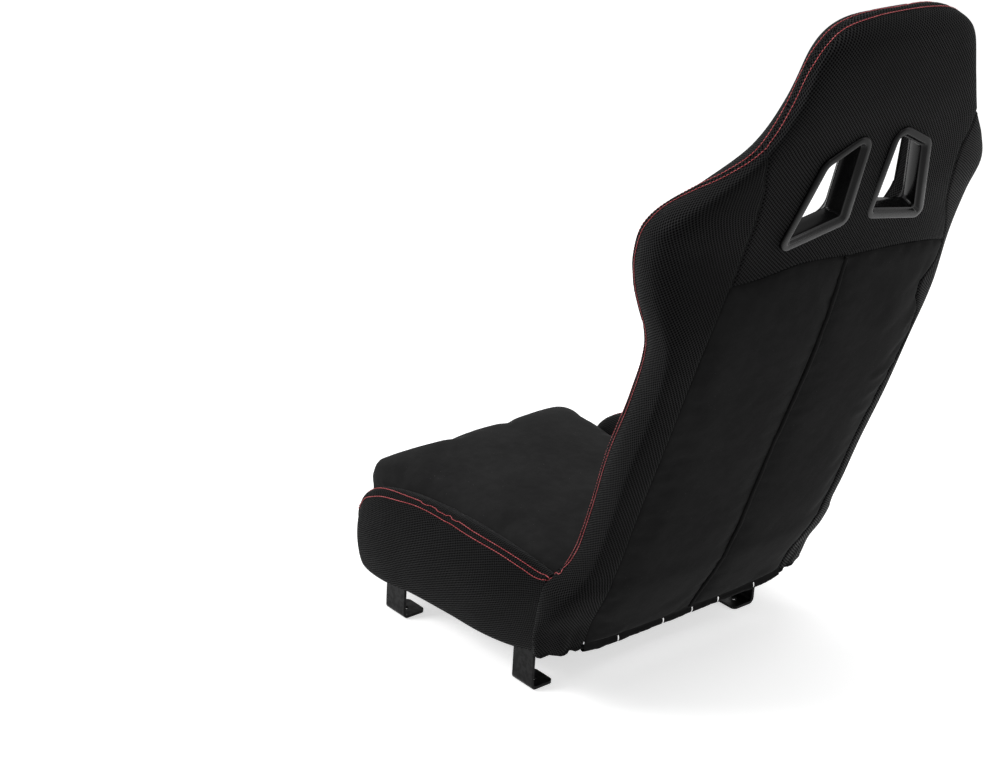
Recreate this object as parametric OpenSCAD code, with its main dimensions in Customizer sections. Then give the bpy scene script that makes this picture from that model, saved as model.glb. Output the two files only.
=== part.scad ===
// Fixed-back bucket seat on four bolt-down feet.
// +Z is up, the seat faces -Y and +X is the sitter's left side.
// The origin lies midway between the two rear foot holes, on the underside of the feet.

/* [Feet and brackets] */
// Distance from the rear foot holes to the front foot holes
foot_pitch = 240; // [220:5:245]
// Distance from the side of the base in to the outer face of a rear bracket
rear_foot_inset = 37; // [33:1:43]
// Distance from the side of the base in to the outer face of a front bracket
front_foot_inset = 18; // [17:1:22]
// Width of the flat bar that a bracket is bent from
bracket_w = 38; // [34:1:42]
// Thickness of the flat bar
bracket_t = 4; // [3:0.5:5]
// Length of a foot, from the outer face of its bracket inwards
foot_len = 38; // [34:1:46]
// Outside radius of the bend between foot and plate
bracket_bend_r = 8; // [6:1:12]
// Radius of a foot's inner corners
foot_corner_r = 7; // [3:1:10]
// Diameter of the hole in each foot
foot_hole_d = 8.5; // [6.5:0.5:10.5]
// Distance from a bracket's outer face to its foot hole
foot_hole_in = 19; // [17:1:22]
// Height of a bracket's top edge over the floor
bracket_top_z = 90; // [88:1:91]

/* [Steel frame] */
// Outside diameter of the frame tube
tube_d = 25; // [20:1:26]
// Wall of the frame tube
tube_wall = 2; // [1.5:0.5:3]
// Outside diameter of the cross tubes
cross_tube_d = 22; // [16:1:24]
// Height of the base tube's centre line
base_tube_z = 76; // [72:1:78]
// Depth of the frame's centre line under the rear face of the back
frame_depth = 27.5; // [26:0.5:29]
// Bend radius where the base turns up into the back
seat_bend_r = 50; // [40:2:60]

/* [Bolts] */
// Diameter of the bracket bolts
bolt_d = 8; // [6:1:8]
// Distance between the two bolts of a bracket
bolt_pitch = 20; // [18:1:20]
// Thickness of the washers
washer_t = 1.6; // [1:0.2:2]

/* [Back] */
// Height of the rear cover's bottom hem
hem_z = 84; // [80:1:90]
// Height where the thigh bolsters run into the back
valley_z = 184; // [180:2:190]
// Height of the waist
waist_z = 420; // [400:10:440]
// Height of the widest point of the shoulder wings
wing_z = 680; // [670:5:690]
// Height of the neck, where the head narrows
neck_z = 780; // [776:2:790]
// Height of the top of the head
top_z = 925; // [916:1:940]
// Half width at the hem
hem_half = 242; // [236:1:250]
// Half width at the waist
waist_half = 222; // [216:1:232]
// Half width over the shoulder wings
wing_half = 263; // [255:1:275]
// Half width of the neck
neck_half = 177; // [170:1:185]
// Half width of the head
head_half = 147; // [142:1:155]
// Thickness of the back on its centre line
back_t = 66; // [62:1:76]
// Thickness of the back between the harness slots
neck_t = 35; // [34:1:38]
// Height of the seam between the lower rear panels and the upper one
yoke_z = 606; // [590:2:620]
// Half width of the two lower rear panels at the yoke seam
rear_panel_half = 176; // [165:1:185]

/* [Base] */
// Half width of the base over the thigh bolsters
base_half = 241; // [238:1:246]
// Height of the thigh bolsters' crest
bolster_z = 200; // [194:1:206]
// Y of the thigh bolsters' front
bolster_front_y = -326; // [-332:1:-322]
// Height of the side covers' hem at the front
side_hem_z = 50; // [46:1:56]
// Width of a thigh bolster
bolster_w = 53; // [49:1:54]

/* [Cushion] */
// Gap between the cushion and a thigh bolster
cushion_gap = 4; // [2:1:12]
// Y of the cushion's front
cushion_front_y = -378; // [-390:1:-368]
// Height of the cushion's top at its front edge
cushion_front_z = 170; // [160:1:176]
// Height of the cushion's top where it meets the back
cushion_rear_z = 154; // [148:1:160]
// Height of the cushion's front drop over the floor
cushion_drop_z = 79; // [70:1:88]
// How much the cushion's middle stands above its edges
cushion_crown = 9; // [4:1:14]

/* [Covers and trim] */
// Thickness of the padded cover cloth
cover_t = 2.6; // [2:0.2:3]
// Thickness of the pad behind the rear cover
pad_t = 6; // [4:0.5:7]
// Width and thickness of the webbing straps
strap_w = 50; // [40:1:54]
strap_t = 2; // [1.5:0.5:2.5]
// Diameter of the rod in the rear hem
hem_rod_d = 8; // [6:1:9]
// Wire diameter of the hog rings
ring_wire_d = 1.8; // [1.2:0.2:2.2]
// Inside diameter of the hog rings
ring_in_d = 11; // [10:0.5:13]

/* [Harness slots] */
// X of the middle of a slot
slot_x = 66; // [62:1:72]
// Height of the middle of a slot
slot_z = 720; // [712:1:728]
// Depth of a slot's tunnel half
slot_depth = 21; // [20:0.5:22]

/* [Hidden] */

$fn = 48;
fit = 0.4;                       // clearance between a soft piece and what it lies on
tube_r = tube_d / 2;
rear_feet_w = 2 * (base_half - rear_foot_inset);     // over the outer faces of the rear brackets
front_feet_w = 2 * (base_half - front_foot_inset);   // over those of the front brackets
bolster_gap_half = base_half - bolster_w;            // half distance between the thigh bolsters
cushion_half = bolster_gap_half - cushion_gap;
run_sag = 3;                     // how far the tubes' straight runs leave the back's curve
cavity = frame_depth + tube_r + strap_t + fit + run_sag;   // depth of the foam's rear face
rear_tube_x = rear_feet_w / 2 - bracket_t - tube_r;
front_tube_x = front_feet_w / 2 - bracket_t - tube_r;
seam_y = 58;                     // where the base covers meet the back's side covers
foam_bottom_z = base_tube_z + tube_r + 2 * strap_t + fit;
foam_start_z = hem_z + 34;       // lower edge of the back's foam and of its front covers

black_cloth = "#1c1c1e";
suede = "#262628";
foam_grey = "#55565a";
steel = "#2a2b2e";

// ---------- small maths ----------

function bezier(a, b, c, d, t) =
    pow(1 - t, 3) * a + 3 * pow(1 - t, 2) * t * b + 3 * (1 - t) * t * t * c + pow(t, 3) * d;
function unit(v) = v / norm(v);
function steps(a, b, n) = [for (i = [0 : n]) a + (b - a) * i / n];

// Smooth curve through the rows of a table, read at x from the first column
function row_below(table, x, i = 0) =
    i >= len(table) - 2 || x < table[i + 1][0] ? i : row_below(table, x, i + 1);
function row_slope(table, i) =
    let (lo = max(i - 1, 0), hi = min(i + 1, len(table) - 1))
    (table[hi] - table[lo]) / (table[hi][0] - table[lo][0]);
function smooth(table, x) =
    let (i = row_below(table, x), a = table[i], b = table[i + 1], h = b[0] - a[0],
        t = (x - a[0]) / h)
    (2 * pow(t, 3) - 3 * t * t + 1) * a + (pow(t, 3) - 2 * t * t + t) * h * row_slope(table, i)
    + (3 * t * t - 2 * pow(t, 3)) * b + (pow(t, 3) - t * t) * h * row_slope(table, i + 1);

// ---------- shape of the back ----------

// Each row: height, y of the rear face on the centre line, half width, how far forward
// the widest point lies, roundness of the rear corner, width and depth of the bolster
// roll, thickness on the centre line.
back_rows = [
    [hem_z,          85,  hem_half,       27, 0.70, 10,  1, 44],
    [hem_z + 36,    104,  hem_half - 2,   38, 0.66, 12,  8, 50],
    [hem_z + 66,    121,  hem_half - 6,   34, 0.63, 14, 28, 58],
    [valley_z,      139,  hem_half - 13,  30, 0.61, 16, 46, back_t - 2],
    [valley_z + 24, 148,  hem_half - 20,  28, 0.60, 30, 56, back_t],
    [valley_z + 56, 160,  waist_half - 2, 27, 0.60, 46, 64, back_t],
    [300,           179,  waist_half - 2, 26, 0.59, 56, 70, back_t],
    [waist_z - 40,  206,  waist_half + 2, 26, 0.59, 60, 75, back_t],
    [waist_z + 40,  233,  waist_half,     26, 0.58, 60, 75, back_t - 2],
    [540,           258,  wing_half - 35, 30, 0.56, 52, 68, back_t - 2],
    [610,           275,  wing_half - 14, 54, 0.57, 42, 58, neck_t + 15],
    [wing_z - 20,   284,  wing_half - 1,  58, 0.60, 36, 50, neck_t + 2],
    [wing_z + 20,   293,  wing_half - 1,  50, 0.66, 36, 48, neck_t],
    [neck_z - 40,   301,  neck_half + 44, 26, 0.66, 36, 46, neck_t],
    [neck_z,        311,  neck_half,      12, 0.65, 38, 46, neck_t + 6],
    [neck_z + 50,   325,  head_half,      12, 0.63, 40, 46, back_t - 6],
    [top_z - 38,    335,  head_half - 22, 16, 0.62, 38, 42, back_t - 1],
    [top_z,         338,  head_half - 39, 20, 0.61, 34, 36, back_t - 5],
];
head_round = 33;                 // radius over the top of the head
head_corner = 56;                // height over which the head's corners round off
head_square = 2.9;               // how square those corners are; 2 is an ellipse

function rise(z, r) = max(0, z - (top_z - r)) / r;
function top_shrink(z) = head_round - head_round * sqrt(max(0, 1 - pow(rise(z, head_round), 2)));
function top_narrow(z) =
    pow(max(0, 1 - pow(rise(z, head_corner), head_square)), 1 / head_square);

// Section of the back at height z, drawn in by the distance inset:
// [y of the rear face, half width, sweep, roundness, roll width, roll depth, thickness]
function back_at(z, inset = 0) =
    let (r = smooth(back_rows, z), s = top_shrink(z), m = max(0.22, top_narrow(z)),
        thick = max(r[7] - 2 * s, 5), squeeze = thick / r[7],
        mid = r[1] - r[7] / 2)
    [mid + thick / 2 - inset, r[2] * m - inset, max(r[3] * squeeze - inset, 0.5), r[4],
        max(r[5] * m * squeeze - inset, 0.4), max(r[6] * squeeze - inset, 0.4),
        max(thick - 2 * inset, 0.6)];

// Rear face from the centre (t = 0) to the widest point (t = 1)
function rear_pt(s, t) = bezier([0, 0], [s[3] * s[1], 0], [s[1], 0.38 * s[2]], [s[1], s[2]], t);
// Side roll from the widest point to the bolster's crest
function roll_pt(s, t) =
    let (d = s[2] + s[5], x = s[1] - s[4])
    bezier([s[1], s[2]], [s[1], s[2] + 0.55 * s[5]], [s[1] - 0.45 * s[4], d], [x, d], t);
// Front face from the bolster's crest to the centre
function front_pt(s, t) =
    let (d = s[2] + s[5], x = s[1] - s[4])
    bezier([x, d], [0.8 * x, d], [0.62 * x, s[6]], [0, s[6]], t);
// From a point of the section to one of the seat; side is 1 on the left and -1 on the right
function to_seat(p, s, z, side = 1) = [side * p[0], s[0] - p[1], z];

function rear_y(z) = back_at(z)[0];

back_levels = concat([hem_z, hem_z + 12, hem_z + 22, foam_start_z, 134, 150, 168],
    [valley_z, 196, 208, 224, 240, 262],
    steps(290, 570, 6), [yoke_z], steps(634, 760, 5), [neck_z, 800, 825, 850, 870],
    [for (a = [0 : 5]) top_z - head_round + head_round * sin(a * 16.2)], [top_z - 0.4]);

// ---------- solids from sections ----------

function flat_list(lists) = [for (l = lists) for (p = l) p];

// Two triangles of a cell with the corners a, b, c and d, split from b to d if flip is true
function cell(a, b, c, d, flip = false) = flip ? [[a, b, d], [b, c, d]] : [[a, b, c], [a, c, d]];

// Closed solid through a stack of closed loops with equal numbers of points.
// The loops run anticlockwise seen from the end that the stack grows towards.
// Columns before flip_to split their cells the other way, which keeps both sides alike.
module loft(loops, flip_to = 0) {
    n = len(loops[0]);
    m = len(loops);
    walls = [for (j = [0 : m - 2]) for (i = [0 : n - 1])
        let (a = j * n + i, b = j * n + (i + 1) % n)
        each cell(a, a + n, b + n, b, i < flip_to)];
    first = [for (i = [0 : n - 1]) i];
    last = [for (i = [n - 1 : -1 : 0]) (m - 1) * n + i];
    polyhedron(flat_list(loops), concat(walls, [first, last]), convexity = 6);
}

// Cup with a wall between two stacks of closed loops, closed at the first loop and open at
// the last one. The loops run as those of loft() do.
module cup(outer, inner) {
    n = len(outer[0]);
    m = len(outer);
    k = m * n;
    function ring(j, i) = [j * n + i, j * n + (i + 1) % n, (j + 1) * n + (i + 1) % n, (j + 1) * n + i];
    walls = [for (j = [0 : m - 2]) for (i = [0 : n - 1])
        let (q = ring(j, i))
        each [[q[0], q[3], q[2]], [q[0], q[2], q[1]],
            [k + q[0], k + q[2], k + q[3]], [k + q[0], k + q[1], k + q[2]]]];
    first = [[for (i = [0 : n - 1]) i], [for (i = [n - 1 : -1 : 0]) k + i]];
    rim = [for (i = [0 : n - 1])
        let (a = (m - 1) * n + i, b = (m - 1) * n + (i + 1) % n)
        each [[a, k + a, k + b], [a, k + b, b]]];
    polyhedron(concat(flat_list(outer), flat_list(inner)), concat(walls, first, rim), convexity = 8);
}

// Sheet with thickness between two grids of points, rows of equal length. Columns from
// flip_from up to flip_to split their cells the other way.
module sheet(outer, inner, flip_from = 0, flip_to = 0) {
    m = len(outer);
    n = len(outer[0]);
    k = m * n;
    skin = [for (j = [0 : m - 2]) for (i = [0 : n - 2])
        let (a = j * n + i, flip = i >= flip_from && i < flip_to)
        each concat(cell(a, a + n, a + n + 1, a + 1, flip),
            cell(k + a, k + a + 1, k + a + n + 1, k + a + n, flip))];
    ends = [for (i = [0 : n - 2])
        let (a = i, b = (m - 1) * n + i)
        each concat(cell(a, a + 1, k + a + 1, k + a), cell(b, k + b, k + b + 1, b + 1))];
    sides = [for (j = [0 : m - 2])
        let (a = j * n, b = j * n + n - 1)
        each concat(cell(a, k + a, k + a + n, a + n), cell(b, b + n, k + b + n, k + b))];
    polyhedron(concat(flat_list(outer), flat_list(inner)), concat(skin, ends, sides),
        convexity = 6);
}

// ---------- round bars and bent tubes ----------

function turn_at(p, i) = acos(unit(p[i] - p[i - 1]) * unit(p[i + 1] - p[i]));
function tangent_at(p, radii, i) =
    i <= 0 || i >= len(p) - 1 ? 0 : radii[i] * tan(turn_at(p, i) / 2);

// Cross-section of a round bar or, with a bore, of a tube
module round_section(r, bore) {
    difference() {
        circle(r = r);
        if (bore > 0) circle(r = bore);
    }
}

// Straight run from a to b
module straight_run(a, b, r, bore) {
    d = b - a;
    translate(a)
        rotate([0, acos(d[2] / norm(d)), atan2(d[1], d[0])])
            linear_extrude(norm(d))
                round_section(r, bore);
}

// Tube along straight runs, with a bend of its own radius at each inner point. A bend reaches
// a little way into the runs beside it, inside their wall.
bend_lap = 0.6;
bend_ease = 0.04;
function lap_angle(radius) = bend_lap / radius * 180 / PI;
module bent_tube(p, radii, r = tube_r, bore = tube_r - tube_wall) {
    for (i = [0 : len(p) - 2]) {
        d = unit(p[i + 1] - p[i]);
        straight_run(p[i] + d * tangent_at(p, radii, i), p[i + 1] - d * tangent_at(p, radii, i + 1),
            r, bore);
    }
    for (i = [1 : len(p) - 2]) {
        d1 = unit(p[i] - p[i - 1]);
        d2 = unit(p[i + 1] - p[i]);
        in = unit(d2 - d1 * (d1 * d2));
        up = cross(-in, d1);
        c = p[i] - d1 * tangent_at(p, radii, i) + in * radii[i];
        multmatrix([[-in[0], d1[0], up[0], c[0]], [-in[1], d1[1], up[1], c[1]],
            [-in[2], d1[2], up[2], c[2]], [0, 0, 0, 1]])
            rotate([0, 0, -lap_angle(radii[i])])
                rotate_extrude(angle = turn_at(p, i) + 2 * lap_angle(radii[i]))
                    translate([radii[i], 0])
                        round_section(r - bend_ease, bore + bend_ease);
    }
}

// ---------- steel frame ----------

loop_end_y = 17;                 // where the base tube is welded to the back tube
cross_y = -34;                   // rear cross tube of the base
loop_front_y = bolster_front_y + 26;
knee_z = 180;                    // the back tube's bends follow the rear face
heel_slope = 0.58;               // lean of the back tube below the knee, per mm of height
chest_z = 505;
shoulder_dip = 4;                // how far the tubes dip under the wings' hollow
shoulder_out = 82;               // from a slot's middle out to the tube under the wings
hoop_z = top_z - head_round - 27;

function mirrored(p) = [for (i = [len(p) - 1 : -1 : 0]) [-p[i][0], p[i][1], p[i][2]]];
function tube_y(z) = rear_y(z) - frame_depth;

loop_half = [
    [rear_tube_x, loop_end_y, base_tube_z],
    [rear_tube_x, -85, base_tube_z],
    [front_tube_x, -155, base_tube_z],
    [front_tube_x, loop_front_y, base_tube_z],
];
knee_y = tube_y(knee_z);
hoop_half = [
    [rear_tube_x, loop_end_y, base_tube_z],
    [rear_tube_x, knee_y - heel_slope * (knee_z - base_tube_z), base_tube_z],
    [rear_tube_x, knee_y, knee_z],
    [rear_tube_x, tube_y(chest_z), chest_z],
    [slot_x + shoulder_out, tube_y(slot_z - 80) - shoulder_dip, slot_z - 80],
    [head_half - 27, tube_y(neck_z + 10), neck_z + 10],
    [head_half - 48, tube_y(hoop_z), hoop_z],
];
// X of the back tube's centre line at height z
function tube_x(z) = lookup(z, [for (p = hoop_half) if (p[2] > base_tube_z) [p[2], p[0]]]);

module base_loop_tube() {
    color(steel)
        difference() {
            bent_tube(concat(loop_half, mirrored(loop_half)), [0, 100, 100, 40, 40, 100, 100, 0]);
            sleeve_places() sleeve_bore();
        }
}

module back_hoop_tube() {
    color(steel)
        bent_tube(concat(hoop_half, mirrored(hoop_half)),
            [0, seat_bend_r, 160, 200, 90, 90, 44, 44, 90, 90, 200, 160, seat_bend_r, 0]);
}

// Cross tube with its ends shaped to the two side tubes it is welded to
module cross_tube(y, z, lean) {
    r = cross_tube_d / 2;
    difference() {
        translate([0, y, z])
            rotate([0, 90, 0])
                linear_extrude(2 * rear_tube_x, center = true)
                    round_section(r, r - tube_wall);
        for (side = [-1, 1])
            translate([side * rear_tube_x, y, z])
                rotate([lean, 0, 0])
                    cylinder(r = tube_r, h = 4 * tube_d, center = true);
    }
}

function lean_between(z1, z2) = -atan2(tube_y(z2) - tube_y(z1), z2 - z1);
function on_run(z, z1, z2) = tube_y(z1) + (tube_y(z2) - tube_y(z1)) * (z - z1) / (z2 - z1);
lumbar_z = 250;
chest_cross_z = chest_z - 62;

module rear_base_cross_tube() {
    color(steel) cross_tube(cross_y, base_tube_z, 90);
}

module lumbar_cross_tube() {
    color(steel)
        cross_tube(on_run(lumbar_z, knee_z, chest_z), lumbar_z, lean_between(knee_z, chest_z));
}

module chest_cross_tube() {
    color(steel)
        cross_tube(on_run(chest_cross_z, knee_z, chest_z), chest_cross_z, lean_between(knee_z, chest_z));
}

// ---------- brackets and their bolts ----------

sleeve_d = bolt_d + 4;
head_h = bolt_d * 0.55;
nut_h = bolt_d * 0.8;

// Puts its children at each bolt: origin on the tube's centre line, +X outwards
module sleeve_places() {
    for (place = [[rear_tube_x, 0], [front_tube_x, -foot_pitch]])
        for (side = [0, 1])
            for (shift = [-0.5, 0.5])
                mirror([side, 0, 0])
                    translate([place[0], place[1] + shift * bolt_pitch, base_tube_z])
                        rotate([0, 90, 0])
                            children();
}

module sleeve_bore() {
    cylinder(d = sleeve_d, h = 2 * tube_d, center = true);
}

module bolt_sleeves() {
    color(steel)
        sleeve_places()
            translate([0, 0, -tube_r - 1])
                difference() {
                    cylinder(d = sleeve_d, h = tube_d + 1);
                    translate([0, 0, -1]) cylinder(d = bolt_d + 0.4, h = tube_d + 3);
                }
}

module bracket_bolts() {
    grip = tube_d + bracket_t + washer_t;
    color("#3a3b3e")
        sleeve_places()
            translate([0, 0, tube_r + bracket_t + washer_t])
                difference() {
                    union() {
                        translate([0, 0, -grip - nut_h - 4]) cylinder(d = bolt_d, h = grip + nut_h + 4);
                        cylinder(d = bolt_d * 1.75, h = head_h);
                    }
                    translate([0, 0, head_h * 0.4]) cylinder(d = bolt_d * 0.72, h = head_h, $fn = 6);
                }
}

module bracket_washers() {
    color("#3a3b3e")
        sleeve_places()
            translate([0, 0, tube_r + bracket_t])
                difference() {
                    cylinder(d = bolt_d * 2, h = washer_t);
                    translate([0, 0, -1]) cylinder(d = bolt_d + 0.4, h = washer_t + 2);
                }
}

module bracket_nuts() {
    color("#3a3b3e")
        sleeve_places()
            translate([0, 0, -tube_r - 1 - nut_h])
                difference() {
                    cylinder(d = bolt_d * 1.85, h = nut_h, $fn = 6);
                    translate([0, 0, -1]) cylinder(d = bolt_d, h = nut_h + 2);
                }
}

// Bracket with its outer face in the plane x = 0 and its foot towards -X
module bracket() {
    r_in = bracket_bend_r - bracket_t;
    difference() {
        union() {
            translate([-bracket_t, -bracket_w / 2, bracket_bend_r])
                cube([bracket_t, bracket_w, bracket_top_z - bracket_bend_r]);
            translate([-bracket_bend_r, bracket_w / 2, bracket_bend_r])
                rotate([90, 0, 0])
                    rotate_extrude(angle = -90)
                        translate([r_in, 0])
                            square([bracket_t, bracket_w]);
            linear_extrude(bracket_t) foot_plan();
        }
        translate([-foot_hole_in, 0, -1]) cylinder(d = foot_hole_d, h = bracket_t + 2);
        for (shift = [-0.5, 0.5])
            translate([-bracket_t - 1, shift * bolt_pitch, base_tube_z])
                rotate([0, 90, 0])
                    cylinder(d = bolt_d + 0.4, h = bracket_t + 2);
    }
}

// Plan of the flat part of a foot, with round inner corners
module foot_plan() {
    half = bracket_w / 2;
    r = foot_corner_r;
    translate([-foot_len + r, -half]) square([foot_len - r - bracket_bend_r, bracket_w]);
    translate([-foot_len, -half + r]) square([r, bracket_w - 2 * r]);
    for (side = [-1, 1])
        translate([-foot_len + r, side * (half - r)]) circle(r = r);
}

module rear_bracket_left() {
    color(steel) translate([rear_feet_w / 2, 0, 0]) bracket();
}

module rear_bracket_right() {
    color(steel) mirror([1, 0, 0]) translate([rear_feet_w / 2, 0, 0]) bracket();
}

module front_bracket_left() {
    color(steel) translate([front_feet_w / 2, -foot_pitch, 0]) bracket();
}

module front_bracket_right() {
    color(steel) mirror([1, 0, 0]) translate([front_feet_w / 2, -foot_pitch, 0]) bracket();
}

// ---------- webbing ----------

thigh_strap_y = -105;
middle_strap_y = -178;
long_strap_x = 110;              // distance of the outer long straps from the middle one
module base_cross_webbing() {
    color("#35363a")
        for (place = [[cross_y, rear_tube_x], [thigh_strap_y, rear_tube_x],
                [middle_strap_y, front_tube_x], [-foot_pitch, front_tube_x]]) {
            y = place[0];
            half = place[1] + tube_r * 0.6;
            translate([-half, y - strap_w / 2, base_tube_z + tube_r])
                cube([2 * half, strap_w, strap_t]);
        }
}

module base_long_webbing() {
    color("#35363a")
        for (x = [-long_strap_x, 0, long_strap_x])
            translate([x - strap_w / 2, loop_front_y, base_tube_z + tube_r + strap_t])
                cube([strap_w, cross_y + cross_tube_d / 2 - loop_front_y, strap_t]);
}

back_strap_z = [218, 280, 342, 404];
module back_webbing() {
    half = rear_tube_x + tube_r * 0.6;
    color("#35363a")
        for (z = back_strap_z)
            translate([0, on_run(z, knee_z, chest_z), z])
                rotate([lean_between(knee_z, chest_z), 0, 0])
                    translate([-half, -tube_r - strap_t, -strap_w / 2])
                        cube([2 * half, strap_t, strap_w]);
}

// ---------- harness slots ----------

// Corners of a slot's rim on the left side, seen from behind with x outwards and z along the
// slope of the back: inner top, inner bottom, outer bottom, outer top
slot_corners = [[-47, 78.5], [-52, -47.5], [59, -68], [24, 44.5]];
slot_radii = [18.5, 13, 10.5, 15];     // of the rim's corners
slot_inner_r = 3;                // least radius of the corners further in
slot_tilt = atan2(rear_y(slot_z + 50) - rear_y(slot_z - 50), 100) + 1.5;
slot_sink = 1.5;                 // how deep the rim's plane lies under the rear face
rim_in = 10.4;                   // how far the hole in the foam lies inside the rim

// Rounded outline of a slot, drawn in by the distance inset
function slot_outline(inset) =
    let (c = slot_corners, n = len(c))
    [for (i = [0 : n - 1])
        let (a = unit(c[i] - c[(i + n - 1) % n]), b = unit(c[(i + 1) % n] - c[i]),
            half_turn = acos(a * b) / 2, in = unit(b - a), start = atan2(-in[1], -in[0]),
            r = max(slot_radii[i] - inset, slot_inner_r),
            mid = c[i] + in * (inset + r) / cos(half_turn))
        for (k = [-2 : 2])
            let (ang = start + k * half_turn / 2)
            mid + r * [cos(ang), sin(ang)]];

// Puts its children in a slot's own frame: +Z out of the rear face, +Y up the slope
module at_slot() {
    translate([slot_x, rear_y(slot_z) - slot_sink, slot_z])
        rotate([-slot_tilt, 0, 0])
            rotate([90, 0, 180])
                mirror([1, 0, 0])
                    children();
}

// Ring swept round a slot; its profile gives the inset, the height and the share of the
// front face's slope that the height follows
module slot_ring(profile) {
    loops = [for (p = profile)
        [for (q = slot_outline(p[0])) [q[0], q[1], p[1] + p[2] * front_slope * q[0]]]];
    m = len(loops);
    n = len(loops[0]);
    faces = [for (j = [0 : m - 1]) for (i = [0 : n - 1])
        let (a = j * n + i, b = j * n + (i + 1) % n, c = ((j + 1) % m) * n + (i + 1) % n,
            d = ((j + 1) % m) * n + i)
        each [[a, c, b], [a, d, c]]];
    polyhedron(flat_list(loops), faces, convexity = 6);
}

skirt = 3;                       // how deep a bezel's rim reaches into the padding
bezel_profile = [[0, -skirt, 0], [0.6, 2.4, 0], [2.6, 4, 0], [9, 4, 0], [11.6, 2.6, 0],
    [13, -0.5, 0], [13.6, -6, 0], [14.2, -slot_depth, 0], [12, -slot_depth, 0],
    [11.4, -6, 0], [10.8, -skirt, 0]];
// The front bezels lean with the front face, and their funnels widen from the rear ones' ends
front_slope = 0.14;
front_depth = neck_t + 2;        // from a slot's plane to the front rim
front_out = 8;                   // how far the front rim is larger than the rear one
funnel_end = slot_depth + fit;
front_profile = [[-front_out, front_depth - skirt, 1], [-front_out + 0.6, front_depth + 2, 1],
    [-front_out + 2, front_depth + 3.4, 1], [-1.5, front_depth + 3.4, 1],
    [0.8, front_depth + 2.2, 1], [2, front_depth, 1], [14.2, funnel_end, 0],
    [12, funnel_end, 0], [-1, front_depth - skirt, 1]];

// Hole through the whole back with the outline drawn in by inset
module slot_hole(inset) {
    at_slot()
        translate([0, 0, -back_t - 20])
            linear_extrude(back_t + 60)
                polygon(slot_outline(inset));
}

module both_slot_holes(inset) {
    slot_hole(inset);
    mirror([1, 0, 0]) slot_hole(inset);
}

// Seats of the bezels' rims in the padding: rear ones in the pad, front ones in the foam
module rim_seat() {
    translate([0, 0, -skirt - fit])
        linear_extrude(30)
            polygon(slot_outline(-fit));
}

module rear_rim_seats() {
    for (side = [0, 1])
        mirror([side, 0, 0]) at_slot() rim_seat();
}

// Thin plate with a slot's outline at a depth under the rear face
module slot_plate(inset, depth, share) {
    multmatrix([[1, 0, 0, 0], [0, 1, 0, 0], [-share * front_slope, 0, 1, -depth]])
        linear_extrude(0.02)
            polygon(slot_outline(inset));
}

// Room for a front bezel: its funnel, its rim, and the way out past the bolster
recess_shift = [14, -6];
recess_depth = 34;
module front_recess() {
    at_slot() {
        hull() {
            slot_plate(rim_in, 0, 0);
            slot_plate(rim_in, funnel_end - 1, 0);
        }
        hull() {
            slot_plate(rim_in, funnel_end - 1, 0);
            slot_plate(-1 - 2 * fit, front_depth - skirt, 1);
        }
        hull() {
            slot_plate(-front_out - fit, front_depth - skirt - fit, 1);
            slot_plate(-front_out - fit, front_depth + 5, 1);
            translate([recess_shift[0], recess_shift[1], 0])
                slot_plate(-front_out - fit, front_depth + recess_depth, 1);
        }
    }
}

module front_rim_seats() {
    for (side = [0, 1])
        mirror([side, 0, 0]) front_recess();
}

module rear_bezel() {
    color("#0d0d0e") at_slot() slot_ring(bezel_profile);
}

module front_bezel() {
    color("#0d0d0e") at_slot() mirror([0, 0, 1]) slot_ring(front_profile);
}

module slot_bezel_rear_left() { rear_bezel(); }
module slot_bezel_rear_right() { mirror([1, 0, 0]) rear_bezel(); }
module slot_bezel_front_left() { front_bezel(); }
module slot_bezel_front_right() { mirror([1, 0, 0]) front_bezel(); }

// ---------- foam of the back ----------

// Columns round the rear corner, shared by foam and covers: k = 0 is the edge of the lower
// rear panels, k = 4 the widest point. From k = 2 the foam reaches round the frame tube.
function corner_t(z, k) = let (e = panel_t(min(z, yoke_z))) e + (1 - e) * k / 4;
// Columns across the rear face, shared by pad and covers: u = 0 is the centre, u = 4 the edge
function panel_col(z, u) = corner_t(z, 0) * u / 4;
roll_ts = [0.25, 0.5, 0.75, 1];
front_ts = [for (k = [1 : 8]) k / 8];
foam_levels = [for (z = back_levels) if (z >= foam_start_z && z < top_z - 3) z];

function foam_cavity(z, s) = z < hoop_z + tube_r + 4 ? cavity - cover_t - fit : min(pad_t, s[6] / 3);
least_foam = 11;                 // on the centre line, where the back is thin
cavity_step = [15.5, 27];        // from the tube's centre line in to the cavity's step
// The foam lies deeper under the top, where the surface leans away
function foam_at(z) = back_at(z, cover_t + fit + 2.5 * rise(z, head_round + 10));
function foam_half(z) =
    let (s = foam_at(z), leg = rear_pt(s, corner_t(z, 2)), deep = foam_cavity(z, s),
        shallow = z < chest_z ? deep : min(deep, s[6] - least_foam),
        out = min(tube_x(z) - cavity_step[0], 0.8 * leg[0]),
        in = min(tube_x(z) - cavity_step[1], 0.65 * leg[0]))
    concat([[0, shallow], [in, shallow], [out, deep], [leg[0], deep]],
        [for (k = [2 : 4]) rear_pt(s, corner_t(z, k))],
        [for (t = roll_ts) roll_pt(s, t)],
        [for (t = front_ts) front_pt(s, t)]);

// Whole loop from a half section that starts and ends on the centre line
function both_halves(half, s, z) =
    let (n = len(half))
    concat([for (i = [n - 1 : -1 : 0]) to_seat(half[i], s, z, 1)],
        [for (i = [1 : n - 2]) to_seat(half[i], s, z, -1)]);

// The back is foamed in two blocks, which meet at the yoke
module foam_block(levels) {
    loft([for (z = levels) both_halves(foam_half(z), foam_at(z), z)],
        len(foam_half(yoke_z)) - 1);
}

module back_foam() {
    color(foam_grey) foam_block([for (z = foam_levels) if (z <= yoke_z) z]);
}

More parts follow.
